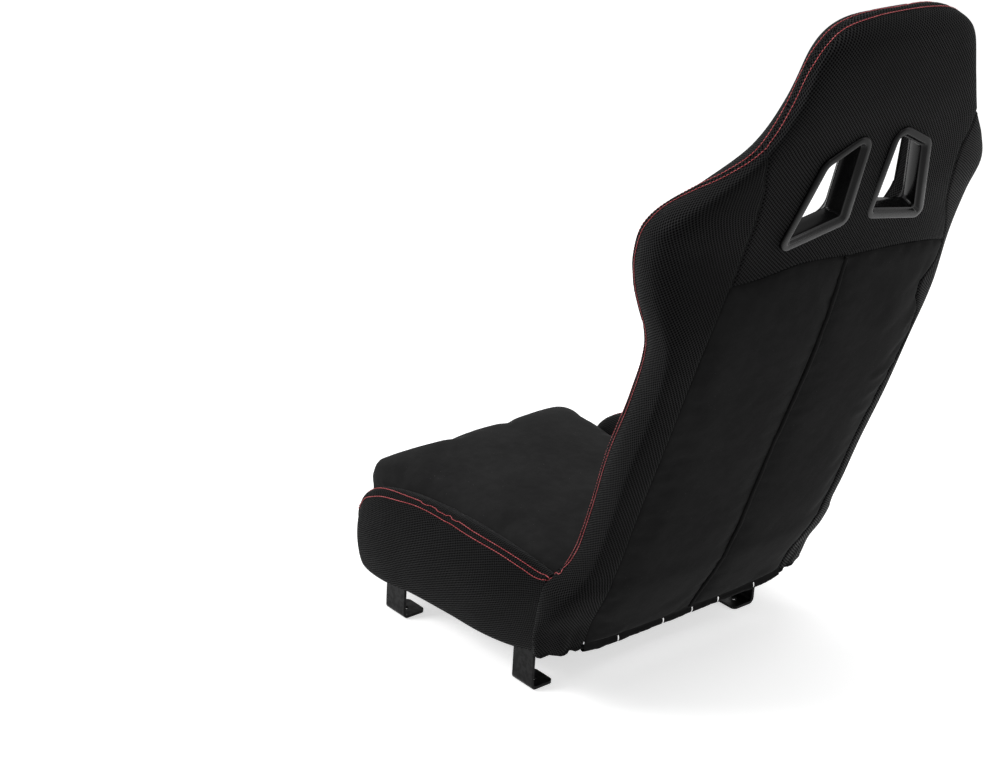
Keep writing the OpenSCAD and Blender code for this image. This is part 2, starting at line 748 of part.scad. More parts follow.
module head_foam() {
    color(foam_grey)
        difference() {
            foam_block(concat([yoke_z + fit], [for (z = foam_levels) if (z > yoke_z) z]));
            front_rim_seats();
        }
}

// The pad lies right behind the rear covers, from the hem to the top of the head
pad_levels = [for (z = back_levels) if (z > hem_z && z < top_z - 34) z];
module back_rear_pad() {
    function grid(inset) = [for (z = pad_levels)
        let (s = back_at(z, inset))
        [for (u = [-3 : 3]) to_seat(rear_pt(s, panel_col(z, abs(u))), s, z, u < 0 ? -1 : 1)]];
    color(foam_grey)
        difference() {
            sheet(grid(cover_t + fit + pad_t), grid(cover_t + fit), 0, 3);
            both_slot_holes(rim_in);
            rear_rim_seats();
        }
}

// ---------- covers of the back ----------

// Where the lower rear panels end on the rear face, as a share of the way to the widest point
panel_bow = 12;                  // how far the panels' edges bow outwards half way up
function panel_t(z) =
    let (up = min(1, max(0, (z - hem_z) / (yoke_z - hem_z))))
    panel_search(back_at(z), rear_panel_half + panel_bow * sin(180 * up), 0, 1, 9);
function panel_search(s, w, lo, hi, n) =
    let (mid = (lo + hi) / 2)
    n == 0 ? mid : rear_pt(s, mid)[0] < w ? panel_search(s, w, mid, hi, n - 1)
        : panel_search(s, w, lo, mid, n - 1);

lower_levels = [for (z = back_levels) if (z <= yoke_z) z];
upper_levels = [for (z = back_levels) if (z >= yoke_z) z];
front_levels = [for (z = back_levels) if (z >= foam_start_z) z];

module lower_rear_cover() {
    function grid(inset) = [for (z = lower_levels)
        let (s = back_at(z, inset))
        [for (u = [0 : 4]) to_seat(rear_pt(s, panel_col(z, u)), s, z)]];
    sheet(grid(cover_t), grid(0));
}

module lower_rear_cover_left() {
    color(suede) lower_rear_cover();
}

module lower_rear_cover_right() {
    color(suede) mirror([1, 0, 0]) lower_rear_cover();
}

// Raised seam between the two lower rear panels
welt_r = 2.4;
module rear_centre_welt() {
    color(suede)
        loft([for (z = lower_levels)
            [for (a = [0 : 45 : 180]) [welt_r * cos(a), rear_y(z) + welt_r * sin(a), z]]]);
}

module upper_rear_cover() {
    function row(z, inset) =
        let (s = back_at(z, inset),
            half = concat([for (u = [0 : 4]) rear_pt(s, panel_col(z, u))],
                [for (k = [1 : 4]) rear_pt(s, corner_t(z, k))],
                [for (t = roll_ts) roll_pt(s, t)]))
        concat([for (i = [len(half) - 1 : -1 : 1]) to_seat(half[i], s, z, -1)],
            [for (p = half) to_seat(p, s, z, 1)]);
    color(black_cloth)
        difference() {
            sheet([for (z = upper_levels) row(z, cover_t)], [for (z = upper_levels) row(z, 0)],
                0, len(row(yoke_z, 0)) / 2 - 0.5);
            both_slot_holes(-fit);
        }
}

module side_cover() {
    function row(z, inset) =
        let (s = back_at(z, inset))
        concat([for (k = [0 : 4]) to_seat(rear_pt(s, corner_t(z, k)), s, z)],
            [for (t = roll_ts) to_seat(roll_pt(s, t), s, z)]);
    sheet([for (z = lower_levels) row(z, cover_t)], [for (z = lower_levels) row(z, 0)]);
}

module side_cover_left() {
    color(black_cloth) side_cover();
}

module side_cover_right() {
    color(black_cloth) mirror([1, 0, 0]) side_cover();
}

panel_split = 0.5;               // seam between the bolster face and the centre of the front
module front_centre_cover() {
    function row(z, inset) =
        let (s = back_at(z, inset), half = [for (t = steps(1, panel_split, 4)) front_pt(s, t)])
        concat([for (i = [len(half) - 1 : -1 : 1]) to_seat(half[i], s, z, -1)],
            [for (p = half) to_seat(p, s, z, 1)]);
    color(suede)
        difference() {
            sheet([for (z = front_levels) row(z, 0)], [for (z = front_levels) row(z, cover_t)], 4, 8);
            front_rim_seats();
        }
}

module front_bolster_cover() {
    function row(z, inset) =
        let (s = back_at(z, inset))
        [for (t = steps(0, panel_split, 4)) to_seat(front_pt(s, t), s, z)];
    difference() {
        sheet([for (z = front_levels) row(z, cover_t)], [for (z = front_levels) row(z, 0)]);
        front_recess();
    }
}

module front_bolster_cover_left() {
    color(black_cloth) front_bolster_cover();
}

module front_bolster_cover_right() {
    color(black_cloth) mirror([1, 0, 0]) front_bolster_cover();
}

// ---------- thigh bolsters ----------

// Each row: y, outermost x, height of the crest, height of the hem, innermost x, height of
// the inner face's lower edge
nose_x = (base_half + bolster_gap_half) / 2 - 3;
inner_low = foam_bottom_z + 6;
bolster_rows = [
    [bolster_front_y,      nose_x + 4,     bolster_z - 94, side_hem_z + 30, nose_x - 4,       side_hem_z + 32],
    [bolster_front_y + 2,  nose_x + 12,    bolster_z - 76, side_hem_z + 16, nose_x - 10,      side_hem_z + 18],
    [bolster_front_y + 6,  base_half - 10, bolster_z - 62, side_hem_z + 7,  nose_x - 16,      side_hem_z + 9],
    [bolster_front_y + 12, base_half - 6,  bolster_z - 50, side_hem_z + 1,  bolster_gap_half, side_hem_z + 2],
    [bolster_front_y + 22, base_half - 4,  bolster_z - 40, side_hem_z - 4,  bolster_gap_half, inner_low],
    [bolster_front_y + 42, base_half - 2,  bolster_z - 28, side_hem_z - 6,  bolster_gap_half, inner_low],
    [-250,                 base_half,      bolster_z - 16, side_hem_z - 4,  bolster_gap_half, inner_low],
    [-200,                 base_half,      bolster_z - 6,  side_hem_z + 3,  bolster_gap_half, inner_low],
    [-120,                 base_half,      bolster_z,      side_hem_z + 8,  bolster_gap_half, inner_low],
    [-50,                  base_half,      bolster_z,      side_hem_z + 11, bolster_gap_half, inner_low],
    [10,                   base_half - 1,  bolster_z - 4,  side_hem_z + 20, bolster_gap_half, inner_low],
    [seam_y,               hem_half - 4,   valley_z + 4,   hem_z,           bolster_gap_half, inner_low + 16],
];
bolster_ys = concat([for (d = [0, 0.8, 2, 4, 7, 12, 16, 24, 36, 52]) bolster_front_y + d], [-250],
    steps(-220, 20, 8), [40, seam_y - 1]);

function bolster_at(y, inset) =
    let (r = smooth(bolster_rows, y))
    [r[1] - inset, r[2] - inset, r[3], r[4] + inset, r[5]];
function crest_in(b) = min(20, 0.5 * (b[0] - b[3]));
// Outer face from the hem to the crest
function flank_pt(b, t) =
    let (h = b[1] - b[2])
    bezier([b[0] - 0.45 * crest_in(b), b[2]], [b[0] + 3, b[2] + 0.3 * h], [b[0] + 1, b[1]],
        [b[0] - crest_in(b), b[1]], t);
// Inner face from the crest down beside the cushion
function inside_pt(b, t) =
    bezier([b[0] - crest_in(b), b[1]], [b[0] - 1.6 * crest_in(b), b[1]], [b[3], b[1] - 12], [b[3], b[4]], t);

foam_leg = 2.5;                  // thickness of the foam beside the frame and the brackets
function foam_floor(y) = foam_bottom_z + 20 * min(1, max(0, (y - 25) / 32));

module bolster_foam() {
    function loop(y) =
        let (b = bolster_at(y, cover_t + 2 * fit), low = foam_floor(y), hem = b[2] + 1)
        [for (p = concat(
            [[b[3], low]],
            [[b[0] - foam_leg - 2, low]],
            [[b[0] - 0.45 * crest_in(b) - foam_leg, hem]],
            [for (t = steps(0, 1, 8)) flank_pt([b[0], b[1], hem, b[3]], t)],
            [for (t = [0.25, 0.5, 0.75]) inside_pt(b, t)])) [p[0], y, p[1]]];
    loft([for (i = [len(bolster_ys) - 1 : -1 : 0]) let (y = bolster_ys[i])
        if (y > bolster_front_y + 15) loop(y)]);
}

module bolster_foam_left() {
    color(foam_grey) bolster_foam();
}

module bolster_foam_right() {
    color(foam_grey) mirror([1, 0, 0]) bolster_foam();
}

module base_side_cover() {
    function row(y, inset) =
        let (b = bolster_at(y, inset))
        [for (p = concat([for (t = steps(0, 1, 8)) flank_pt(b, t)],
            [for (t = [0.25, 0.5, 0.75, 1]) inside_pt(b, t)])) [p[0], y, p[1]]];
    sheet([for (y = bolster_ys) row(y, cover_t)], [for (y = bolster_ys) row(y, 0)]);
}

module base_side_cover_left() {
    color(black_cloth) base_side_cover();
}

module base_side_cover_right() {
    color(black_cloth) mirror([1, 0, 0]) base_side_cover();
}

apron_y = loop_front_y - tube_r - fit;
module base_front_apron() {
    half = bolster_gap_half - 2;
    low = base_tube_z - tube_r - cover_t - fit;
    color(black_cloth) {
        translate([-half, apron_y - cover_t, low])
            cube([2 * half, cover_t, foam_bottom_z - fit - low]);
        translate([-half, apron_y, low])
            cube([2 * half, tube_d, cover_t]);
    }
}

// ---------- cushion ----------

apron_front = apron_y - cover_t - 2 * fit;
function back_front_y(z) = let (s = back_at(z)) s[0] - s[6];
cushion_end_y = back_front_y(cushion_rear_z - 22) - 1;

// Each row: y, half width, height of the top's edge, height of the underside, crown
cushion_rows = [
    [cushion_front_y,      cushion_half - 44, cushion_front_z - 48, cushion_drop_z + 38, 0],
    [cushion_front_y + 1,  cushion_half - 26, cushion_front_z - 26, cushion_drop_z + 20, 2],
    [cushion_front_y + 4,  cushion_half - 15, cushion_front_z - 14, cushion_drop_z + 10, 3],
    [cushion_front_y + 10, cushion_half - 7,  cushion_front_z - 6,  cushion_drop_z + 4,  4],
    [cushion_front_y + 24, cushion_half - 2,  cushion_front_z - 1,  cushion_drop_z,      6],
    [cushion_front_y + 60, cushion_half,      cushion_front_z,      cushion_drop_z,      cushion_crown],
    [-200,                 cushion_half,      cushion_front_z - 3,  cushion_drop_z,      cushion_crown],
    [-60,                  cushion_half,      cushion_rear_z + 6,   cushion_drop_z,      cushion_crown],
    [10,                   cushion_half - 1,  cushion_rear_z + 1,   cushion_drop_z,      cushion_crown],
    [cushion_end_y - 12,   cushion_half - 5,  cushion_rear_z - 2,   cushion_drop_z,      6],
    [cushion_end_y,        cushion_half - 16, cushion_rear_z - 8,   cushion_drop_z,      3],
];
cushion_ys = concat([for (d = [0, 0.5, 1.5, 4, 9, 16, 26, 40]) cushion_front_y + d],
    [apron_front - 0.2, apron_front], steps(-290, 10, 8), [24, 36, 46, cushion_end_y - 7, cushion_end_y]);

// Lowest height the cushion may have at y, clear of the webbing and of the back's slope
function cushion_floor(y, drop) =
    y < apron_front ? drop : max(foam_bottom_z + fit, slope_floor(y));
function slope_floor(y) =
    let (z1 = foam_start_z, y1 = back_front_y(z1) - 1)
    y < y1 - 14 ? 0 : z1 + 2 + (y - y1) * (cushion_rear_z - 22 - z1) / (cushion_end_y - y1);

// Half section of the cushion from the middle of its top, round the side, to its underside
function cushion_section(y, inset) =
    let (r = smooth(cushion_rows, y), w = r[1] - inset,
        low = min(cushion_floor(y, r[3]), r[2] - 8) + inset, edge = r[2] - inset,
        waist = 3.5, tall = edge - low, round_z = min(22, tall * 0.4))
    concat([for (t = steps(0, 1, 5)) bezier([0, edge + r[4]], [w * 0.5, edge + r[4]],
            [w - 30, edge + 0.4 * r[4]], [w - 14, edge - 1], t)],
        [[w - 4, edge - round_z * 0.35], [w, edge - round_z], [w - waist, (edge - round_z + low) / 2],
            [w - 1, low + 6 * tall / 80], [w - 8, low]]);

function cushion_loop(y, inset) =
    let (h = cushion_section(y, inset), n = len(h))
    [for (p = concat(h, [[0, h[n - 1][1]]], [for (i = [n - 1 : -1 : 1]) [-h[i][0], h[i][1]]]))
        [p[0], y, p[1]]];

// The same loop drawn in on all sides, its front included
function cushion_inner(y, inset) =
    [for (p = cushion_loop(y, inset)) [p[0], y + inset * max(0, 1 - (y - cushion_front_y) / 9), p[2]]];

module cushion_foam() {
    color(foam_grey)
        loft([for (y = cushion_ys) if (y < cushion_end_y) cushion_inner(y, cover_t + fit)]);
}

module cushion_cover() {
    color(suede)
        cup([for (y = cushion_ys) cushion_loop(y, 0)], [for (y = cushion_ys) cushion_inner(y, cover_t)]);
}

// ---------- rear hem ----------

rod_y = rear_y(hem_z) - cover_t - hem_rod_d / 2;
rod_z = hem_z - hem_rod_d / 2 - fit;
ring_lift = (ring_in_d - hem_rod_d) / 2 - 0.1;   // a ring hangs on the cloth and carries the rod
rod_half = 150;
ring_x = [-125, -58, -10, 42, 121];

module rear_hem_rod() {
    color(steel)
        translate([-rod_half, rod_y, rod_z])
            rotate([0, 90, 0])
                cylinder(d = hem_rod_d, h = 2 * rod_half);
}

module hog_rings() {
    color("#e8e8e8")
        for (x = ring_x)
            translate([x, rod_y, rod_z + ring_lift])
                rotate([0, 90, 0])
                    rotate([0, 0, 30])
                        rotate_extrude(angle = 300)
                            translate([(ring_in_d + ring_wire_d) / 2, 0])
                                circle(d = ring_wire_d, $fn = 16);
}

base_loop_tube();
back_hoop_tube();
rear_base_cross_tube();
lumbar_cross_tube();
chest_cross_tube();
bolt_sleeves();
base_cross_webbing();
base_long_webbing();
back_webbing();
back_foam();
head_foam();
back_rear_pad();
bolster_foam_left();
bolster_foam_right();
cushion_foam();
cushion_cover();
lower_rear_cover_left();
lower_rear_cover_right();
rear_centre_welt();
upper_rear_cover();
side_cover_left();
side_cover_right();
front_centre_cover();
front_bolster_cover_left();
front_bolster_cover_right();
base_side_cover_left();
base_side_cover_right();
base_front_apron();
slot_bezel_rear_left();
slot_bezel_rear_right();
slot_bezel_front_left();
slot_bezel_front_right();
rear_bracket_left();
rear_bracket_right();
front_bracket_left();
front_bracket_right();
bracket_bolts();
bracket_washers();
bracket_nuts();
rear_hem_rod();
hog_rings();
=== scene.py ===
"""Fixed-back racing seat: covers, cushion, trim, finishes, light and camera round the CAD frame.

Shapes are worked out in millimetres in the seat's own frame and turned into metres when a
piece is made. +X is the sitter's left, the seat faces -Y, and +Z is up.
"""

import math

import bmesh
import bpy
import numpy as np
from mathutils import Matrix, Vector
from mathutils.bvhtree import BVHTree


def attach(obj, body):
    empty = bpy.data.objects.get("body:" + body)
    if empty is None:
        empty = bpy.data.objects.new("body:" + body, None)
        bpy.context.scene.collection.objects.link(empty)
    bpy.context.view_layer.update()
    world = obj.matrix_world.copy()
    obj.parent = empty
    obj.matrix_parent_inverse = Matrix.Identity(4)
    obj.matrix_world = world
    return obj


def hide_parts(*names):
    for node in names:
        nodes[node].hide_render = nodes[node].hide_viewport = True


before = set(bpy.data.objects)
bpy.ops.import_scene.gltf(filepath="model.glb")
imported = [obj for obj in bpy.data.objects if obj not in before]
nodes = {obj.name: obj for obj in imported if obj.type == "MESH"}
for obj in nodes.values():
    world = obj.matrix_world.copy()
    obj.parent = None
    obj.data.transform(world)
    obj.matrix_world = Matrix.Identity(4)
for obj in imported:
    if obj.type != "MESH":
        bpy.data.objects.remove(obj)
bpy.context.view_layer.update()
MM = 0.001
SIDES = (("left", 1), ("right", -1))

# ---------- sizes of the back ----------

TOP_Z = 925.0
HEM_Z = 84.0
FRONT_START_Z = 118.0
HEAD_ROUND, HEAD_CORNER, HEAD_SQUARE = 33.0, 56.0, 2.9

# height, y of the rear face, half width, sweep, roundness, roll width, roll depth, thickness
BACK_ROWS = np.array([
    [84, 85, 242, 27, .70, 10, 1, 44], [120, 104, 240, 38, .66, 12, 8, 50],
    [150, 121, 236, 34, .63, 14, 28, 58], [184, 139, 229, 30, .61, 16, 46, 64],
    [208, 148, 222, 28, .60, 30, 56, 66], [240, 160, 220, 27, .60, 46, 64, 66],
    [300, 179, 220, 26, .59, 56, 70, 66], [380, 206, 224, 26, .59, 60, 75, 66],
    [460, 233, 222, 26, .58, 60, 75, 64], [540, 258, 228, 30, .56, 52, 68, 64],
    [610, 275, 249, 54, .57, 42, 58, 50], [660, 284, 262, 58, .60, 36, 50, 37],
    [700, 293, 262, 50, .66, 36, 48, 35], [740, 301, 221, 26, .66, 36, 46, 35],
    [780, 311, 177, 12, .65, 38, 46, 41], [830, 325, 147, 12, .63, 40, 46, 60],
    [887, 335, 125, 16, .62, 38, 42, 65], [925, 338, 108, 20, .61, 34, 36, 61]], float)

# y, outermost x, height of the crest, height of the hem, innermost x, inner edge's height
BOLSTER_ROWS = np.array([
    [-326, 215.5, 106, 80, 207.5, 82], [-324, 223.5, 124, 66, 201.5, 68],
    [-320, 231, 138, 57, 195.5, 59], [-314, 235, 150, 51, 188, 52],
    [-304, 237, 160, 46, 188, 98.9], [-284, 239, 172, 44, 188, 98.9],
    [-250, 241, 184, 46, 188, 98.9], [-200, 241, 194, 53, 188, 98.9],
    [-120, 241, 200, 58, 188, 98.9], [-50, 241, 200, 61, 188, 98.9],
    [10, 240, 196, 70, 188, 98.9], [58, 238, 188, 84, 188, 114.9]], float)

CUSHION_END_Y = 57.0
# y, half width, height of the top's edge, height of the underside, crown
CUSHION_ROWS = np.array([
    [-378, 140, 122, 117, 0], [-377, 158, 144, 99, 2], [-374, 169, 156, 89, 3],
    [-368, 177, 164, 83, 4], [-354, 182, 169, 79, 6], [-318, 184, 170, 79, 9],
    [-200, 184, 167, 79, 9], [-60, 184, 160, 79, 9], [10, 183, 155, 79, 9],
    [CUSHION_END_Y - 12, 179, 152, 79, 6], [CUSHION_END_Y, 168, 146, 79, 3]], float)


def smooth(table, x):
    """The rows of a table at the heights x, on a smooth curve through the rows."""
    x = np.atleast_1d(np.asarray(x, float))
    last = len(table) - 1
    i = np.clip(np.searchsorted(table[:, 0], x, side="right") - 1, 0, last - 1)
    slope = np.array([(table[min(k + 1, last)] - table[max(k - 1, 0)])
                      / (table[min(k + 1, last)][0] - table[max(k - 1, 0)][0])
                      for k in range(last + 1)])
    a, b = table[i], table[i + 1]
    h = (b[:, 0] - a[:, 0])[:, None]
    t = (x - a[:, 0])[:, None] / h
    return ((2 * t**3 - 3 * t * t + 1) * a + (t**3 - 2 * t * t + t) * h * slope[i]
            + (3 * t * t - 2 * t**3) * b + (t**3 - t * t) * h * slope[i + 1])


def bezier(a, b, c, d, t):
    return (1 - t)**3 * a + 3 * (1 - t)**2 * t * b + 3 * (1 - t) * t * t * c + t**3 * d


def ease(t):
    """0 to 1 with a slow start and a slow end."""
    return t * t * (3 - 2 * t)


def by_part(u, first, second, third):
    """The value that belongs to the part of a section, where parts end at u of 1 and 2."""
    return np.where(u <= 1, first, np.where(u <= 2, second, third))


def back_section(z):
    """Rear y, half width, sweep, roundness, roll width, roll depth and thickness at height z."""
    r = smooth(BACK_ROWS, z)
    z = np.atleast_1d(np.asarray(z, float))

    def rise(height):
        return np.maximum(0, z - (TOP_Z - height)) / height

    shrink = HEAD_ROUND * (1 - np.sqrt(np.maximum(0, 1 - rise(HEAD_ROUND)**2)))
    narrow = np.maximum(.22, np.maximum(0, 1 - rise(HEAD_CORNER)**HEAD_SQUARE)**(1 / HEAD_SQUARE))
    thick = np.maximum(r[:, 7] - 2 * shrink, 5)
    squeeze = thick / r[:, 7]
    return np.stack([r[:, 1] - r[:, 7] / 2 + thick / 2, r[:, 2] * narrow,
                     np.maximum(r[:, 3] * squeeze, .5), r[:, 4],
                     np.maximum(r[:, 5] * narrow * squeeze, .4),
                     np.maximum(r[:, 6] * squeeze, .4), thick])


def back_point(z, u, side=1):
    """A point of the back: u is 0 at the rear centre, 1 at the side, 2 on the bolster's crest
    and 3 at the front centre."""
    z, u = np.broadcast_arrays(np.asarray(z, float), np.asarray(u, float))
    shape = z.shape
    z, u = z.ravel(), u.ravel()
    rear, half, sweep, around, roll_w, roll_d, thick = back_section(z)
    crest, depth = half - roll_w, sweep + roll_d
    t = np.clip(u, 0, 1)
    x1, y1 = bezier(0 * half, around * half, half, half, t), bezier(0, 0, .38 * sweep, sweep, t)
    t = np.clip(u - 1, 0, 1)
    x2 = bezier(half, half, half - .45 * roll_w, crest, t)
    y2 = bezier(sweep, sweep + .55 * roll_d, depth, depth, t)
    t = np.clip(u - 2, 0, 1)
    x3 = bezier(crest, .8 * crest, .62 * crest, 0 * crest, t)
    y3 = bezier(depth, depth, thick, thick, t)
    x, y = by_part(u, x1, x2, x3), by_part(u, y1, y2, y3)
    return np.stack([side * x, rear - y, z], -1).reshape(shape + (3,))


def bolster_point(y, w, side=1):
    """A point of a thigh bolster: w is 0 at the hem, 1 on the crest, 2 at the foot of the inner
    face, and 3 back at the hem."""
    y, w = np.broadcast_arrays(np.asarray(y, float), np.asarray(w, float))
    shape = y.shape
    y, w = y.ravel(), w.ravel()
    _, out, crest, hem, inner, foot = smooth(BOLSTER_ROWS, y).T
    c, h = np.minimum(20, .5 * (out - inner)), crest - hem
    t = np.clip(w, 0, 1)
    x1 = bezier(out - .45 * c, out + 3, out + 1, out - c, t)
    z1 = bezier(hem, hem + .3 * h, crest, crest, t)
    t = np.clip(w - 1, 0, 1)
    x2 = bezier(out - c, out - 1.6 * c, inner, inner, t)
    z2 = bezier(crest, crest, crest - 12, foot, t)
    t = np.clip(w - 2, 0, 1)
    x3, z3 = inner + (out - .45 * c - inner) * t, foot + (hem - foot) * t
    x, z = by_part(w, x1, x2, x3), by_part(w, z1, z2, z3)
    return np.stack([side * x, y, z], -1).reshape(shape + (3,))


def wander(t, seed):
    """A slow, repeatable wander between about -1 and 1 for hand-sewn unevenness."""
    return (np.sin(1.7 * t + seed) + .6 * np.sin(3.9 * t + 2.3 * seed + 1)
            + .4 * np.sin(8.3 * t + 4.1 * seed + 2)) / 2


def waves(t, rows):
    """A sum of sine waves, whose height, closeness and start are in the rows."""
    return sum(high * np.sin(t * close + start) for high, close, start in rows)


# ---------- meshes ----------

def lengths(points, axis=0):
    """Distance along a row of points from its first, or along the rows or columns of a grid."""
    steps = np.linalg.norm(np.diff(points, axis=axis), axis=-1)
    return np.insert(np.cumsum(steps, axis=axis), 0, 0, axis=axis)


EDGE_STEPS = np.array([1.2, 2.6, 4.6])       # first distances from a seam
EDGE_END = 7.0                               # where the even steps begin
SEAM_WIDTH = 5.0                             # how far from a seam the cloth is drawn down


def spread(length, step):
    """Fractions of a length, close together at both ends where a seam rounds the cloth over."""
    count = max(3, round((length - 2 * EDGE_END) / step))
    inner = np.linspace(EDGE_END, length - EDGE_END, count)
    return np.concatenate([[0], EDGE_STEPS, inner, length - EDGE_STEPS[::-1], [length]]) / length


def both_ways(length, step):
    """The same fractions from -1 over 0 to 1, as one row."""
    half = spread(length, step)
    return np.concatenate([-half[::-1][:-1], half])[None, :]


def normals_of(grid, side):
    """Outward normals of a grid whose rows go up and whose columns go round to the front."""
    n = np.cross(np.gradient(grid, axis=0), np.gradient(grid, axis=1)) * side
    return n / np.maximum(np.linalg.norm(n, axis=-1, keepdims=True), 1e-9)


def edge_drop(grid, edges, depth):
    """How far the cloth dives at a seam: edges names the grid's sides, from "first", "last"
    (columns), "low" and "high" (rows)."""
    across, up = lengths(grid, 1), lengths(grid)
    far = {"first": across, "last": across[:, -1:] - across, "low": up, "high": up[-1:] - up}
    drop = np.zeros(grid.shape[:2])
    for edge in edges:
        drop = np.minimum(drop, -depth * np.maximum(0, 1 - far[edge] / SEAM_WIDTH)**2)
    return drop


def quads(rows, columns, side=1, closed=False):
    faces = []
    for i in range(rows - 1):
        for j in range(columns if closed else columns - 1):
            k = (j + 1) % columns
            face = (i * columns + j, (i + 1) * columns + j, (i + 1) * columns + k, i * columns + k)
            faces.append(face if side > 0 else face[::-1])
    return faces


def end_faces(rows, columns):
    """Faces that close the first and last ring of a grid."""
    last = (rows - 1) * columns
    return [tuple(range(columns))[::-1], tuple(range(last, last + columns))]


def add_mesh(name, points, faces, material, uv=None, hides=()):
    mesh = bpy.data.meshes.new(name)
    mesh.from_pydata([tuple(p) for p in np.asarray(points).reshape(-1, 3) * MM], [], faces)
    if uv is not None:
        layer = mesh.uv_layers.new(name="cloth")
        index = np.zeros(len(mesh.loops), int)
        mesh.loops.foreach_get("vertex_index", index)
        layer.data.foreach_set("uv", (np.asarray(uv).reshape(-1, 2) * MM)[index].ravel())
    mesh.materials.append(material)
    mesh.polygons.foreach_set("use_smooth", [True] * len(mesh.polygons))
    piece = bpy.data.objects.new(name, mesh)
    bpy.context.scene.collection.objects.link(piece)
    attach(piece, "root")
    if hides:
        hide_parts(*hides)
    return piece


def apply_modifiers(piece):
    bpy.context.view_layer.update()
    shape = bpy.data.meshes.new_from_object(
        piece.evaluated_get(bpy.context.evaluated_depsgraph_get()))
    piece.modifiers.clear()
    piece.data = shape


def points_of(piece):
    co = np.zeros(len(piece.data.vertices) * 3)
    piece.data.vertices.foreach_get("co", co)
    return co.reshape(-1, 3)


def face_outwards(piece):
    shell = bmesh.new()
    shell.from_mesh(piece.data)
    bmesh.ops.recalc_face_normals(shell, faces=shell.faces)
    shell.to_mesh(piece.data)
    shell.free()


def inflate(piece, pressure, cap, frames, pins=None, shrink=0.0):
    """Cloth with pressure inside it, held at the pins, then applied with its movement capped
    in millimetres."""
    rest = points_of(piece)
    if pins is not None:
        group = piece.vertex_groups.new(name="sewn")
        group.add([int(i) for i in pins], 1.0, "REPLACE")
    cloth = piece.modifiers.new("stuffing", "CLOTH")
    s = cloth.settings
    s.quality, s.mass, s.air_damping = 5, .25, 4
    s.tension_stiffness = s.compression_stiffness = 18
    s.shear_stiffness, s.bending_stiffness = 8, 1.2
    s.use_pressure, s.uniform_pressure_force = True, pressure
    s.shrink_min = shrink
    s.effector_weights.gravity = 0
    if pins is not None:
        s.vertex_group_mass = "sewn"
    cloth.point_cache.frame_start, cloth.point_cache.frame_end = 1, frames
    for f in range(1, frames + 1):
        bpy.context.scene.frame_set(f)
    apply_modifiers(piece)
    bpy.context.scene.frame_set(1)
    moved = points_of(piece) - rest
    far = np.linalg.norm(moved, axis=1, keepdims=True)
    cap *= MM
    eased = moved / np.maximum(far, 1e-9) * cap * np.tanh(far / cap)
    piece.data.vertices.foreach_set("co", (rest + eased).ravel())
    piece.data.update()


def rounded(piece):
    piece.modifiers.new("round", "SUBSURF").levels = 1
    apply_modifiers(piece)


# ---------- shaders ----------

class Value:
    """A number that changes over a surface, for use in plain sums."""

    def __init__(self, net, socket):
        self.net, self.socket = net, socket

    def _sum(self, kind, a, b=None):
        sockets = {0: a} if b is None else {0: a, 1: b}
        return self.net.node("ShaderNodeMath", {"operation": kind}, sockets)

    def __add__(self, other):
        return self._sum("ADD", self, other)

    def __radd__(self, other):
        return self._sum("ADD", other, self)

    def __sub__(self, other):
        return self._sum("SUBTRACT", self, other)

    def __rsub__(self, other):
        return self._sum("SUBTRACT", other, self)

    def __mul__(self, other):
        return self._sum("MULTIPLY", self, other)

    def __rmul__(self, other):
        return self._sum("MULTIPLY", other, self)

    def part(self):
        return self._sum("FRACT", self)

    def sine(self):
        return self._sum("SINE", self)

    def at_least(self, other):
        return self._sum("MAXIMUM", self, other)

    def at_most(self, other):
        return self._sum("MINIMUM", self, other)

    def step(self, low, high):
        """0 below low, 1 above high, smooth between."""
        return self.net.node("ShaderNodeMapRange", {"interpolation_type": "SMOOTHSTEP"},
                             {"Value": self, "From Min": low, "From Max": high})


class Net:
    """The nodes of a material or of the world."""

    def __init__(self, owner):
        owner.use_nodes = True
        self.tree = owner.node_tree
        self.tree.nodes.clear()

    def node(self, kind, settings=None, sockets=None, out=0):
        made = self.tree.nodes.new(kind)
        for key, value in (settings or {}).items():
            setattr(made, key, value)
        for key, value in (sockets or {}).items():
            if isinstance(value, Value):
                self.tree.links.new(value.socket, made.inputs[key])
            else:
                made.inputs[key].default_value = value
        return Value(self, made.outputs[out]) if made.outputs else None

    def outputs(self, made, *names):
        """Some outputs of a node."""
        return [Value(self, made.socket.node.outputs[name]) for name in names]

    def axes(self, place):
        return self.outputs(self.node("ShaderNodeSeparateXYZ", {}, {0: place}), 0, 1, 2)


